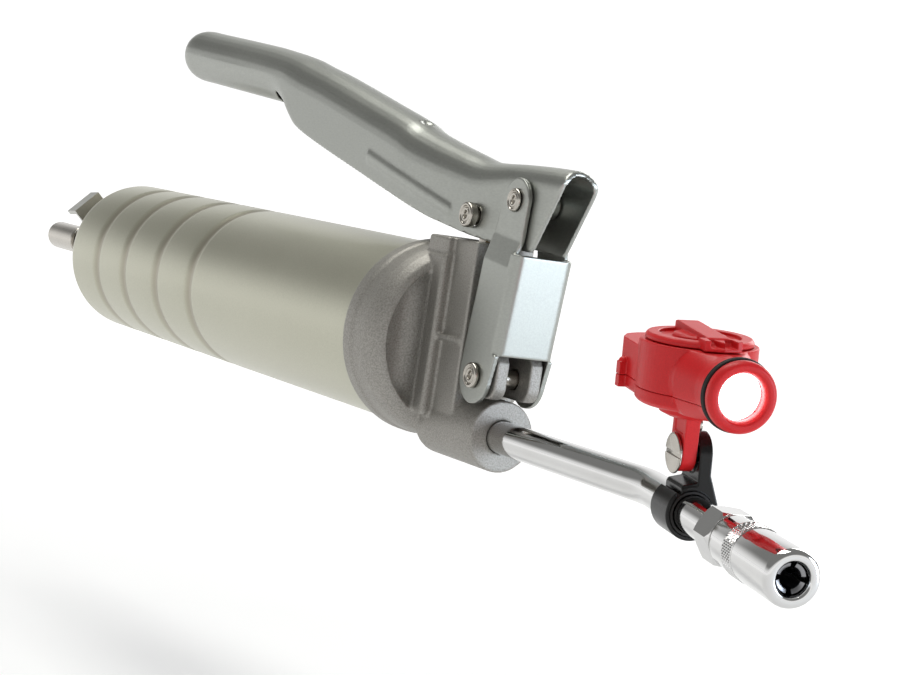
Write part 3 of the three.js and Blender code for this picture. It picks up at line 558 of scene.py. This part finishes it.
# ---- barrel --------------------------------------------------------------------------------------
def barrel_skin():
    rear = behind(BARREL_REAR)
    front = rear + BARREL_LENGTH
    outside = [(front, BARREL_RADIUS - 0.3), (front - 0.3, BARREL_RADIUS)]
    steps = 14
    for setback in BEAD_SETBACKS:
        for k in range(steps + 1):
            turn = 2 * math.pi * k / steps
            along = behind(setback) + BEAD_WIDTH * (0.5 - k / steps)
            outside.append((along, BARREL_RADIUS - BEAD_DEPTH * (1 - math.cos(turn)) / 2))
    centre = (rear + SHOULDER_RADIUS, BARREL_RADIUS - SHOULDER_RADIUS)
    shoulder = arc(centre, SHOULDER_RADIUS, 90, 180, 16)
    lip = [(rear, 7.6), (rear + 0.4, 7.2), (rear + BARREL_WALL, 7.2)]
    inside = arc(centre, SHOULDER_RADIUS - BARREL_WALL, 180, 90, 8)
    mouth = [(front, BARREL_RADIUS - BARREL_WALL), outside[0]]
    return turned(outside + shoulder + lip + inside + mouth, 160)


def bush_skin():
    rear = behind(BARREL_REAR)
    bore = ROD_RADIUS + CLEARANCE
    flange = rear + BARREL_WALL + CLEARANCE
    return turned(softened([
        (rear - 2, bore), (rear - 2, 6.9), (flange, 6.9), (flange, 10), (flange + 2.6, 10),
        (flange + 2.6, bore), (rear - 2, bore),
    ]))


def knob_skin():
    back = behind(KNOB_END)
    mouth = back + KNOB_LENGTH
    bore = ROD_RADIUS + CLEARANCE
    dome = [(back, 0), (back, 3.2)] + [(back + 3 + x, 2.9 + r) for x, r in arc((0, 0), 2.85, 172, 100, 8)]
    return turned(dome + [(back + 3.2, KNOB_RADIUS), (mouth - 0.4, KNOB_RADIUS), (mouth, KNOB_RADIUS - 0.4),
                          (mouth, bore), (mouth - 12, bore), (mouth - 12, 0)])


def rod_skin():
    end = behind(KNOB_END) + KNOB_LENGTH - 11.7
    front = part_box("follower_rod")[1].x / MM
    return turned(softened([(end, 0), (end, ROD_RADIUS), (front, ROD_RADIUS), (front, 0)], 0.5))


def lock_lever_skin():
    upright = block(-2, 0, -LOCK_HALF, LOCK_HALF, -1.2, 42)
    plate = unite(upright, block(-11, 0, -LOCK_HALF, LOCK_HALF, 40.2, 42))
    hole = rod("X", -4, 4, ROD_RADIUS + 0.8, (0, 15.6))
    return bevel(cut(plate, hole), 0.5)


def lock_bracket_skin():
    rear = behind(BARREL_REAR)
    foot = block(rear - 1.9, rear - CLEARANCE, -LOCK_HALF, LOCK_HALF, -19, -13)
    arm = block(rear - 12, rear - CLEARANCE, -LOCK_HALF, LOCK_HALF, -19, -17.2)
    toe = block(rear - 12, rear - 10.4, -LOCK_HALF, LOCK_HALF, -19, -14.2)
    return bevel(unite(foot, arm, toe), 0.35)


def add_barrel():
    show(barrel_skin(), "barrel_tube")
    show(bush_skin(), "rod_guide_bush")
    show(knob_skin(), "rod_knob")
    show(rod_skin(), "follower_rod")
    show(lock_lever_skin(), "rod_lock_lever", LOCK)
    show(lock_bracket_skin(), "rod_lock_bracket", LOCK_BASE)


# ---- head casting --------------------------------------------------------------------------------
def clevis_ear(low, high):
    outline = [
        (behind(16), -12.5), (behind(0), -12.5), *arc((behind(-0.6), -8.5), 4, -80, 0, 6),
        (behind(-4.6), -1.4), (behind(-3), 1), (behind(3), 6), (behind(16), 10),
    ]
    return prism(outline, low, high, "Y")


def head_skin():
    """The casting: collar, end rib, upright slab, outlet boss and clevis, with its bores and sunk pocket."""
    collar = turned(softened([
        (behind(51.2), 0), (behind(51.2), 30.3), (behind(46), 30.3), (behind(45.4), COLLAR_RADIUS),
        (behind(38.5), COLLAR_RADIUS), (behind(34.8), 29.1), (behind(32.4), 27.4), (behind(31.5), 25.2),
        (behind(31.5), 0),
    ], 0.6), 128)
    rib = common(
        bevel(block(behind(37), behind(25.5), -13.5, 13.5, -22, 30), 1.3, 4),
        rod("X", behind(38), behind(20), 29.3, sides=96),
    )
    slab = block(behind(38), behind(SLAB_FRONT), -SLAB_HALF, SLAB_HALF, -20, SLAB_TOP)
    top_pad = bevel(block(behind(38), behind(26), -12.6, 12.6, 20, SLAB_TOP), 0.6)
    boss = rod("X", behind(34), OUTLET_X, BOSS_RADIUS, (0, OUTLET_Z), 96)
    solid = unite(collar, rib, slab, top_pad, boss, clevis_ear(3.7, 7.7), clevis_ear(-7.7, -3.7))
    ridge_outline = [(behind(25.8), 9.5), (behind(25.8), 12.4), (behind(14.5), 10.4), (behind(14.5), 9.5)]
    for side in (-1, 1):
        solid = unite(solid, prism([(x, side * y) for x, y in ridge_outline], 1.4, 3))
    near = arc((behind(30.6), -19.8), 6, 90, 180, 10)
    bridge = [(behind(28), -13.8), *near, (behind(40), -19.8)]
    bridge += [(x, -y) for x, y in reversed(bridge)]
    moon = cut(
        rod("X", behind(36.6), behind(30), 25, sides=96),
        prism(bridge, -40, 40),
        rod("X", behind(40), behind(28), BOSS_RADIUS + 1.5, (0, OUTLET_Z)),
    )
    socket = turned([
        (behind(53), 0), (behind(53), 28.9), (behind(43.5), 28.9), (behind(43.5), 26.5), (behind(41), 25),
        (behind(41), 0),
    ], 96)
    solid = cut(
        solid, moon, socket,
        rod("Z", -14, SLAB_TOP + 1, 4 + CLEARANCE, (PUMP_X, 0)),
        rod("Z", 21.5, SLAB_TOP + 1, 6.8, (PUMP_X, 0)),
        rod("X", behind(22), behind(9), 3.7, (0, OUTLET_Z)),
        rod("X", behind(11.3), behind(-1), PIPE_RADIUS + 0.05, (0, OUTLET_Z), 96),
        rod("Y", -12, 12, PIN_HOLE, (link_pivot.x, link_pivot.z)),
    )
    return moulded(solid, 0.42, 7)


# ---- pump and link -------------------------------------------------------------------------------
def link_skin():
    """The bent sheet link: a web with rounded bends, and side plates that step in to the lever's width."""
    low = 8.2
    high = 38
    bend_centre = (9.75 - LINK_BEND, LINK_HALF - LINK_BEND)
    outer = arc(bend_centre, LINK_BEND, 0, 90, 8)
    inner = arc(bend_centre, LINK_BEND - SHEET, 90, 0, 8)
    half_section = [(6, LINK_HALF)] + outer[::-1]
    far = [(6, LINK_HALF - SHEET)] + inner
    section = half_section + [(x, -y) for x, y in reversed(half_section)]
    section += [(x, -y) for x, y in far] + far[::-1]
    web = prism(section, low, high)
    side = [
        (-8.2, 40.5), (-8.6, 0), *arc((0, 0), 8.2, 180, 360, 32)[1:], (9.2, low - 0.2), (6.9, low + 0.4),
        (6.9, high), (7.2, 40.5), *arc((0, LINK_LENGTH), 6.6, 0, 180, 32),
    ]
    solid = web
    for hand in (-1, 1):
        step = [(LINK_HALF, -9), (LINK_HALF, 33.5), (LINK_EAR_HALF, 41.5), (LINK_EAR_HALF, 60)]
        step += [(y - SHEET, z) for y, z in reversed(step)]
        plate = prism([(hand * y, z) for y, z in step], -10, 10, "X")
        solid = unite(solid, common(plate, prism(side, -12, 12, "Y")))
    solid = cut(
        solid,
        rod("Y", -12, 12, PIN_HOLE),
        rod("Y", -12, 12, PIN_HOLE, (0, LINK_LENGTH)),
    )
    return moulded(solid, 0.24, 8)


def rivet_skin(x, z, half, head, height):
    """A pin with a rolled tube end inside a round collar at each side."""
    end = half + height
    profile = [
        (-end + 1.2, 0), (-end + 1.2, 1), (-end + 0.15, 1.25), (-end + 0.05, 2), (-end + 0.45, 2.25),
        (-end + 0.45, 2.5), (-end, 2.8), (-end, head - 0.4), (-end + 0.4, head), (-half, head),
        (-half, PIN_RADIUS),
    ]
    profile += [(-along, radius) for along, radius in reversed(profile)]
    return turned(softened(profile, 0.3), 64, "Y", (x, z))


def plunger_skin():
    bottom = PIN_Z - 4.6
    top = PIN_Z + 5.4
    outline = softened([
        (PUMP_X - 4.5, bottom), (PUMP_X + 4.5, bottom), (PUMP_X + 6.8, PIN_Z - 2), (PUMP_X + 6.6, top - 1),
        (PUMP_X + 2, top), (PUMP_X - 2, top), (PUMP_X - 6.6, top - 1), (PUMP_X - 6.8, PIN_Z - 2),
    ], 2, 6, loop=True)
    eye = prism(outline, -3.5, 3.5, "Y")
    slot_front = arc((PUMP_X + 1.1, PIN_Z), 3.2, -90, 90, 16)
    slot_back = arc((PUMP_X - 1.1, PIN_Z), 3.2, 90, 270, 16)
    slot = prism(slot_front + slot_back, -5, 5, "Y")
    return bevel(cut(unite(rod("Z", -12.6, 35, 4, (PUMP_X, 0)), eye), slot), 0.25)


def spacer_skin():
    profile = [(-4.4, PIN_HOLE), (-4.4, 4.2), (4.4, 4.2), (4.4, PIN_HOLE), (-4.4, PIN_HOLE)]
    return turned(softened(profile), 64, "Y", (lever_pivot.x, lever_pivot.z))


def add_head():
    show(head_skin(), "head_casting", angle=60)
    show(link_skin(), "link_bracket", LINK, angle=50)
    show(plunger_skin(), "pump_plunger")
    show(spacer_skin(), "lever_pivot_spacer")
    show(rivet_skin(link_pivot.x, link_pivot.z, LINK_HALF + CLEARANCE, 3.75, 1.3), "link_pivot_rivet")
    show(rivet_skin(lever_pivot.x, lever_pivot.z, LINK_EAR_HALF + CLEARANCE, 3.4, 0.9), "lever_pivot_rivet")
    show(rivet_skin(PUMP_X, PIN_Z, 8.3, 3.75, 2.6), "plunger_pin")


# ---- hand lever ----------------------------------------------------------------------------------
# Distance behind the outlet face, top height, bottom height, half width, corner radius of the bottom.
LEVER_STATIONS = [
    (-26, 56.2, 31.4, 6.4, 0.1), (-9, 56.5, 31.4, 6.4, 0.1), (8, 56.3, 32, 6.4, 0.1),
    (16, 56, 32.6, 7.2, 0.1), (25, 56, 33.4, 7.9, 0.1), (36, 57.8, 34.9, 8.6, 0.1),
    (50, 60.3, 36.9, 9.3, 0.1), (66, 63.6, 40.2, 9.8, 0.1), (74, 66.2, 42, 10, 0.1),
    (93, 70.3, 46.2, 10, 0.1), (132, 78.5, 54.8, 10, 0.1), (149, 81.6, 59.2, 10, 1),
    (157, 83.2, 62.6, 10, 3), (165, 84.4, 66, 9.8, 6), (175, 85.6, 67, 9.6, 9),
    (191, 87.2, 68.2, 9.5, 9.5), (244, 91.1, 72, 9.5, 9.5), (254, 91.78, 72.8, 9.4, 9.4),
    (259, 91, 74.3, 8.2, 8.2), (262.6, 88.8, 77, 5.6, 5.6),
]
GRIP_OPENS = 160
GRIP_CLOSES = 176
SLOT_DEPTH = 8
RIB_START = (92.4, 52.9)
RIB_END = (33.5, 39.2)
RIB_STEPS = 36
DIMPLE_RADIUS = 3


def lever_ring(back, top, bottom, half, corner, steps=14):
    """One section of the lever: a round top, straight sides and a bottom with its corners rounded."""
    upper = min(half, (top - bottom) / 2)
    low = min(corner, (top - bottom) / 2)
    turns = [math.pi * k / steps for k in range(steps + 1)]
    ring = [(behind(back), half * math.cos(a), top - upper + upper * math.sin(a)) for a in turns]
    for angle in turns:
        side = math.cos(angle)
        y = 0 if abs(side) < TINY else -math.copysign(half - low, side) - low * side
        ring.append((behind(back), y, bottom + low - low * math.sin(angle)))
    return ring


def smooth_stations(stations, steps=4):
    """Rows between the stations, on a smooth curve through them."""
    rows = []
    last = len(stations) - 1
    for i in range(last):
        known = [stations[max(i - 1, 0)], stations[i], stations[i + 1], stations[min(i + 2, last)]]
        for k in range(steps):
            t = k / steps
            row = [known[1][0] + (known[2][0] - known[1][0]) * t]
            for column in range(1, 5):
                a, b, c, d = ((station[0], station[column]) for station in known)
                slope_b = (c[1] - a[1]) / max(c[0] - a[0], TINY) * (c[0] - b[0])
                slope_c = (d[1] - b[1]) / max(d[0] - b[0], TINY) * (c[0] - b[0])
                value = (
                    (2 * t**3 - 3 * t**2 + 1) * b[1] + (t**3 - 2 * t**2 + t) * slope_b
                    + (3 * t**2 - 2 * t**3) * c[1] + (t**3 - t**2) * slope_c
                )
                row.append(max(value, 0.05))
            rows.append(row)
    rows.append(list(stations[-1]))
    return rows


def hollow_row(back, top, bottom, half, corner):
    """The hollow inside a station: open below along the channel, and closed off along the grip."""
    closing = min(max((back - GRIP_OPENS) / (GRIP_CLOSES - GRIP_OPENS), 0), 1)
    floor = bottom - SLOT_DEPTH + (SLOT_DEPTH + LEVER_WALL) * closing
    return back, top - LEVER_WALL, floor, half - LEVER_WALL, max(corner - LEVER_WALL, 0.1)


def lever_front_cut():
    """Cuts the channel's front to a slanted edge that clears the link as the lever turns."""
    nose = [
        (behind(-19.6), 62), (behind(-19.6), 57.2), (behind(-22), 53.2), (behind(-21), 50),
        (behind(-10.6), 32), (behind(-4.9), 28.5), (behind(-4.9), 24), (behind(-40), 24), (behind(-40), 62),
    ]
    return prism(softened(nose, 2.2, 8, loop=True), -14, 14, "Y")


def lever_side_rib(hand):
    """The long bead pressed out of the lever's side, following its width."""
    rings = []
    for k in range(RIB_STEPS + 1):
        t = k / RIB_STEPS
        swell = min(1, 2 * math.sqrt(max(t * (1 - t), 0)) / 0.32)
        back = RIB_START[0] + (RIB_END[0] - RIB_START[0]) * t
        z = RIB_START[1] + (RIB_END[1] - RIB_START[1]) * t
        y = hand * (width_at(back) - 0.25)
        proud = hand * 0.8 * swell
        tall = 2.1 * max(swell, 0.05)
        turns = [2 * math.pi * n / 20 for n in range(20)]
        rings.append([(behind(back), y + proud * math.cos(a), z + tall * math.sin(a)) for a in turns])
    return skin(rings)


def width_at(back):
    """The lever's half width, straight between its stations."""
    for first, second in zip(LEVER_STATIONS, LEVER_STATIONS[1:]):
        if first[0] <= back <= second[0]:
            share = (back - first[0]) / (second[0] - first[0])
            return first[3] + (second[3] - first[3]) * share
    return LEVER_STATIONS[-1][3]


def lever_skin():
    """The lever: a pressed channel that closes into a round grip, pierced for its two pins."""
    rows = smooth_stations(LEVER_STATIONS)
    outside = skin([lever_ring(*row) for row in rows])
    hollow_rows = [hollow_row(*row) for row in rows[:-5]]
    hollow_rows[0] = (-30, *hollow_rows[0][1:])
    hollow = skin([lever_ring(*row) for row in hollow_rows])
    turns = [math.pi * (k / 24 - 0.5) for k in range(25)]
    ball = [(67.4 + DIMPLE_RADIUS * math.sin(a), DIMPLE_RADIUS * math.cos(a)) for a in turns]
    dimple = turned(ball, 32, "Z", (behind(71.3), -0.6))
    shell = cut(
        outside, hollow, dimple, lever_front_cut(),
        rod("Y", -12, 12, PIN_HOLE, (lever_pivot.x, lever_pivot.z)),
        rod("Y", -12, 12, PIN_HOLE, (PUMP_X, PIN_Z)),
    )
    return moulded(unite(shell, lever_side_rib(-1), lever_side_rib(1)), 0.5, 2)


# ---- outlet pipe and coupler ---------------------------------------------------------------------
def pipe_skin():
    start = Vector((behind(11), 0, OUTLET_Z))
    bend_start = Vector((PIPE_BEND_X, 0, OUTLET_Z))
    corner = bend_start.copy()
    corner.x = coupler_tip.x - coupler_tip.y / heading.y * heading.x
    bend_end = corner + heading * (corner.x - bend_start.x)
    end = coupler_tip - heading * PIPE_END
    route = [start + (bend_start - start) * k / 8 for k in range(8)]
    for k in range(21):
        t = k / 20
        route.append(bend_start * (1 - t) ** 2 + corner * 2 * t * (1 - t) + bend_end * t * t)
    route += [bend_end + (end - bend_end) * k / 6 for k in range(1, 7)]
    return tube(route, PIPE_RADIUS, 2.2)


def tube(route, radius, bore, sides=72):
    """A hollow tube along the route, its section held upright."""
    outer = []
    inner = []
    for i, point in enumerate(route):
        along = (route[min(i + 1, len(route) - 1)] - route[max(i - 1, 0)]).normalized()
        aside = along.cross(Vector((0, 0, 1))).normalized()
        up = aside.cross(along)
        turns = [(math.cos(2 * math.pi * k / sides), math.sin(2 * math.pi * k / sides)) for k in range(sides)]
        outer.append([point + aside * radius * c + up * radius * s for c, s in turns])
        inner.append([point + aside * bore * c + up * bore * s for c, s in turns])
    return skin(outer + inner[::-1], closed=True)


KNURL_BACK = -26.5
KNURL_FRONT = -20.8
KNURL_COUNT = 36
KNURL_DEPTH = 0.42
KNURL_SIDES = 432
ACROSS_FLATS = 13


def knurl(along, radius, angle):
    """Diamond knurling: two crossed sets of vee grooves round the grip band."""
    if not (KNURL_BACK + 0.2 < along < KNURL_FRONT - 0.2 and radius > 7):
        return 0
    turn = KNURL_COUNT * angle / (2 * math.pi)
    lean = KNURL_COUNT * along / (2 * math.pi * radius)
    lift = min(abs(((turn + sign * lean) % 1) - 0.5) for sign in (-1, 1))
    return 0.09 - KNURL_DEPTH * (1 - 2 * lift)


def sleeve_skin():
    """The coupler's sleeve, knurled round the middle, with a rolled lip at its mouth."""
    band = [(KNURL_BACK + (KNURL_FRONT - KNURL_BACK) * k / 48, 7.05) for k in range(49)]
    plain = softened([(-35.2, 5.3), (-35.2, 6.1), (-34.9, 6.6), (-27.1, 6.6), (-26.6, 6.9)], 0.3)
    front = softened([
        (KNURL_FRONT + 0.1, 6.9), (-20.4, COUPLER_RADIUS), (-1.4, COUPLER_RADIUS), (-0.35, 6.5), (0, 5.8),
        (0, 4.5), (-0.9, 3.95), (-2.2, 3.95), (-6, 5.3), (-35.2, 5.3),
    ], 0.35)
    return turned(plain + band + front[:-1] + [plain[0]], KNURL_SIDES, relief=knurl)


def coupler_body_skin():
    hexagon = rod("X", -45, -35.5, ACROSS_FLATS / math.sqrt(3), sides=6)
    chamfer = turned([(-45.5, 0), (-45.5, 5.9), (-43.4, 7.7), (-37, 7.7), (-35, 6.3), (-35, 0)], 128)
    body = unite(common(hexagon, chamfer), rod("X", -36, -22, 5))
    body = cut(body, rod("X", -46, -PIPE_END + CLEARANCE, PIPE_RADIUS + CLEARANCE), rod("X", -40, -21, 1.8))
    return moulded(body, 0.14, 2)


def jaw_skin(number):
    """One of the four jaws: a quarter of a ring that narrows to a gripping edge at the mouth."""
    wedge = turned(softened([
        (-14.2, 3.1), (-14.2, 4.95), (-6.4, 4.95), (-3.1, 3.62), (-1.5, 3.62), (-2, 2.6), (-3.4, 2.5),
        (-14.2, 3.1),
    ], 0.2))
    middle = 45 + number * 90
    keep = prism([(0, 0), *arc((0, 0), 9, middle - 33, middle + 33, 12)], -16, 1, "X")
    return common(wedge, keep)


def add_coupler():
    show(pipe_skin(), "outlet_pipe")
    show(sleeve_skin(), "coupler_sleeve", COUPLER, angle=40)
    show(coupler_body_skin(), "coupler_body", COUPLER)
    for number in range(4):
        show(jaw_skin(number), f"coupler_jaw_{number + 1}", COUPLER)


# ---- work light ----------------------------------------------------------------------------------
def clamp_skin():
    """The black spring clamp: a split ring, an upright ear with a round top, and a sloping foot."""
    ring = rod("X", -CLAMP_HALF, CLAMP_HALF, CLAMP_RADIUS, sides=128)
    ear_top = TILT_HEIGHT + 6
    ear = prism([
        (EAR_NEAR, 3), (EAR_NEAR, ear_top), (EAR_FAR, ear_top), (EAR_FAR, 9.8), (6.75, 2.4), (6, 1), (4, 1),
    ], -CLAMP_HALF, CLAMP_HALF, "X")
    round_top = arc((0, TILT_HEIGHT), CLAMP_HALF, 0, 180, 48)
    profile = prism([(-CLAMP_HALF, -8), (CLAMP_HALF, -8), *round_top], -2, 9, "Y")
    saddle = prism([(-4.6, 4.4), (-2.8, 7.2), (2, 8.2), (2, 4.4)], -CLAMP_HALF + 0.2, CLAMP_HALF - 0.2, "X")
    recess = rod("Y", EAR_NEAR - 1, EAR_NEAR + 0.3, 4.9, (0, TILT_HEIGHT), 64)
    solid = cut(
        unite(ring, common(ear, profile), saddle),
        recess,
        rod("X", -8, 8, PIPE_RADIUS + 0.95, sides=128),
        rod("Y", -4, 9, 2.3, (0, TILT_HEIGHT)),
        rod("Y", EAR_FAR - 2.1, 9, 4.1, (0, TILT_HEIGHT), 6),
        block(-8, 8, -4.4, -3.3, 2, 9),
    )
    return moulded(solid, 0.17, 8)


def tilt_screw_skin():
    """The coin-slot screw that the light tilts on."""
    face = -4.6
    at = (0, TILT_HEIGHT)
    profile = softened([(face, 0), (face, 4.9), (face + 0.3, 5.2), (-3.8, 5.2), (-3.8, 0)], 0.2)
    head = turned(profile, 96, "Y", at)
    slot = block(-6, 6, face - 1, face + 0.45, TILT_HEIGHT - 0.6, TILT_HEIGHT + 0.6)
    return unite(bevel(cut(head, slot), 0.08, 2, 50), rod("Y", -3.9, EAR_FAR - 0.1, 1.9, at))


def stem_skin():
    """The light's foot: a flat blade with a sunk panel, and the stepped disc that the housing turns on."""
    spindle_x = BODY_CENTRE - 1
    blade = prism([*arc((0, 0), 4.6, 180, 360, 32), (5.2, 10.5), (-4.2, 10.5)], -1.9, 1.9, "Y")
    panel = block(-2.6, 3.4, -2.4, -1.6, 5.4, 9.6)
    disc = turned([(9.9, 0), (9.9, 5.8), (10.9, 8), (12.7, 8.2), (12.7, 0)], 96, "Z", (spindle_x, 0))
    foot = cut(
        unite(cut(blade, panel), disc, rod("Z", 12.6, 16.9, 2.4, (spindle_x, 0))),
        rod("Y", -4, 4, 2.3),
        rod("Y", -1, 4, 1.4, (0.6, 7.6)),
    )
    return moulded(foot, 0.15, 4)


def plan(inset):
    """The housing's outline from above, drawn in by the inset: most of a circle and a narrower tail."""
    outline = arc((BODY_CENTRE, 0), BODY_RADIUS - inset, -122, 122, 48)
    side = [(BODY_TAIL + 7.5, 12 - inset), (BODY_TAIL + 2.2, 9.2 - inset), (BODY_TAIL + inset, 5)]
    return softened(outline + side + [(x, -y) for x, y in reversed(side)], 1.2, 5, loop=True)


def housing_rib(hand):
    """The upright rib with a domed top on one side of the housing."""
    top = BODY_TOP - 8.6
    side = sorted((hand * 10, hand * 14.2))
    upright = block(RIB_X - RIB_HALF, RIB_X + RIB_HALF, *side, BODY_BOTTOM + 0.8, top)
    turns = [math.pi * (k / 16 - 0.5) for k in range(1, 16)]
    ball = [(RIB_HALF * math.sin(a), RIB_HALF * math.cos(a)) for a in turns]
    dome = turned([(-RIB_HALF, 0), *ball, (RIB_HALF, 0)], 32, "Z", (RIB_X, hand * 12.9))
    dome.data.transform(Matrix.Translation((0, 0, top)))
    return upright, dome


def housing_half(low, high):
    """One shell of the light's housing: a round drum with a lower tail, a bulging neck and a tail catch."""
    body = prism(plan(0), BODY_BOTTOM + 1.1, BODY_TOP)
    drum = turned([
        (18, 0), (18, 17), (BODY_TOP - 0.9, BODY_RADIUS + 0.6), (BODY_TOP, BODY_RADIUS - 0.5), (BODY_TOP, 0),
    ], 128, "Z", (BODY_CENTRE, 0))
    tail_space = cut(block(-30, BODY_CENTRE, -20, 20, TAIL_TOP, 30), drum)
    belly = skin([
        [(x, y, BODY_BOTTOM) for x, y in plan(1.6)], [(x, y, BODY_BOTTOM + 0.5) for x, y in plan(0.6)],
        [(x, y, BODY_BOTTOM + 1.3) for x, y in plan(0)],
    ])
    neck = turned([(12, 0), (12, NECK_RADIUS), (NECK_END, NECK_RADIUS), (NECK_END, 0)], 96, "X", (0, LIGHT_Z))
    bulge = turned([
        (12, 0), (12, 11), (16, 10.8), (20.5, 9.4), (24, 8.3), (26, NECK_RADIUS), (26, 0),
    ], 96, "X", (0, LIGHT_Z))
    collar = common(bulge, block(11, 27, -12, 12, BODY_BOTTOM - 0.4, BODY_TOP - 0.1))
    nose = rod("X", NECK_END - 0.1, NECK_END + 2.2, 7.3, (0, LIGHT_Z), 96)
    catch = block(BODY_TAIL - 1.8, -21, -5.4, 5.4, SEAM_Z - 2.5, SEAM_Z + 4)
    nub = rod("Z", TAIL_TOP - 1, TAIL_TOP + 1.6, 1.3, (-13.4, -3.6), 32)
    solid = unite(cut(body, tail_space), belly, neck, collar, nose, catch, nub)
    for hand in (-1, 1):
        solid = unite(solid, *housing_rib(hand))
    solid = cut(
        common(solid, block(-40, 60, -30, 30, low, high)),
        rod("Z", SEAM_Z - 1.4, BODY_TOP + 1, CELL_RADIUS, (BODY_CENTRE, 0)),
        rod("X", 8, NECK_END + 4, LED_BORE, (0, LIGHT_Z)),
        rod("Z", BODY_BOTTOM - 1, SEAM_Z, 2.75, (BODY_CENTRE - 1, 0)),
    )
    return moulded(solid, 0.2, 6)


def cover_skin():
    """The battery cover: stepped discs, a sloping grip bar and a forked pointer at the front."""
    x = BODY_CENTRE
    top = BODY_TOP
    plug = turned([
        (top - 2.4, 0), (top - 2.4, 9.9), (top + 0.1, 9.9), (top + CLEARANCE, 13.5), (top + 1.2, 13.5),
        (top + 1.9, 12.9), (top + 1.9, 0),
    ], 128, "Z", (x, 0))
    well = turned([(top + 1, 0), (top + 1, 10.2), (top + 3, 10.2), (top + 3, 0)], 96, "Z", (x, 0))
    boss = turned([(top, 0), (top, 6.8), (top + 1.6, 6.8), (top + 2.1, 6.2), (top + 2.1, 0)], 96, "Z", (x, 0))
    bar = prism([
        (x - 10.4, top), (x + 12, top), (x + 12, top + 3.1), (x - 9.2, top + 4), (x - 10.4, top + 3.6),
    ], -2.9, 2.9, "Y")
    tip = x + 17
    fork = cut(
        prism([(x + 11.2, -4.8), (tip - 1, -4.8), (tip, 0), (tip - 1, 4.8), (x + 11.2, 4.8)],
              top + CLEARANCE, top + 2.9),
        prism([(x + 12.4, -3.1), (tip + 1, -3.5), (tip + 1, 3.5), (x + 12.4, 3.1)], top + 1.1, top + 4),
    )
    ridge = prism([(x + 11.8, -1.6), (tip - 0.3, 0), (x + 11.8, 1.6)], top + 0.6, top + 2.6)
    return moulded(unite(cut(plug, well), boss, bar, fork, ridge), 0.16, 4)


def bezel_skin():
    """The ring in front of the lens, grooved for the rubber ring behind it."""
    back = NECK_END + CLEARANCE
    rim = NECK_END + 2.6
    seat = NECK_END + 2.8
    return turned(softened([
        (back, 7.6), (back, 8.6), (NECK_END + 0.8, 8.2), (rim, 8.2), (NECK_END + 3.1, BEZEL_RADIUS),
        (LENS_FRONT - 1, BEZEL_RADIUS), (LENS_FRONT, 8), (LENS_FRONT, 6.5), (LENS_FRONT - 1.2, 5.7),
        (seat, 5.7), (seat, 7.6), (back, 7.6),
    ], 0.5, 5), 96, "X", (0, LIGHT_Z))


def o_ring_skin():
    """The ring between neck and bezel, with a groove that shows it as two lines."""
    start = NECK_END + 0.95
    half = 0.75
    profile = []
    for centre in (start + half / 2, start + 1.5 * half + 0.05):
        profile += [(centre + x, 8.72 + r) for x, r in arc((0, 0), 0.42, 180, 0, 8)]
    profile = profile + [(start + 2 * half, 8.3), (start, 8.3), profile[0]]
    return turned(profile, 96, "X", (0, LIGHT_Z))


def lens_skin():
    turns = [math.pi / 2 * k / 12 for k in range(13)]
    dome = [(NECK_END + 1.1 + 0.7 * math.cos(a), 6 * math.sin(a)) for a in turns]
    return turned(dome + [(NECK_END, 6), (NECK_END, 0)], 96, "X", (0, LIGHT_Z))


def lock_screw_skin():
    head = turned(softened([(2.2, 0), (2.2, 1.9), (3.7, 1.9), (3.7, 0)], 0.35), 48, "Y", (0.6, 7.6))
    return unite(head, rod("Y", -0.9, 2.4, 1.1, (0.6, 7.6), 32))


def add_light():
    show(clamp_skin(), "clamp_ring", CLAMP, angle=60)
    show(tilt_screw_skin(), "tilt_screw", CLAMP)
    show(stem_skin(), "torch_stem", TORCH)
    show(lock_screw_skin(), "swivel_lock_screw", TORCH)
    show(housing_half(0, SEAM_Z - SEAM_GAP), "torch_housing_lower", TORCH, angle=50)
    show(housing_half(SEAM_Z + SEAM_GAP, 60), "torch_housing_upper", TORCH, angle=50)
    show(cover_skin(), "battery_cover", TORCH, angle=50)
    show(bezel_skin(), "lens_bezel", TORCH)
    show(o_ring_skin(), "lens_o_ring", TORCH)
    show(lens_skin(), "torch_lens", TORCH)


# ---- assembly ------------------------------------------------------------------------------------
def dress_frame():
    """Gives every CAD node its slot's finish; those that a skin replaces are hidden later."""
    for name, node in frame["nodes"].items():
        node.data.materials.clear()
        node.data.materials.append(FINISHES[slot_of[name]])
        node.data.shade_smooth()
        node.data.set_sharp_from_angle(angle=math.radians(30))


dress_frame()
add_camera()
add_studio()
add_barrel()
add_head()
show(lever_skin(), "hand_lever", angle=40)
add_coupler()
add_light()
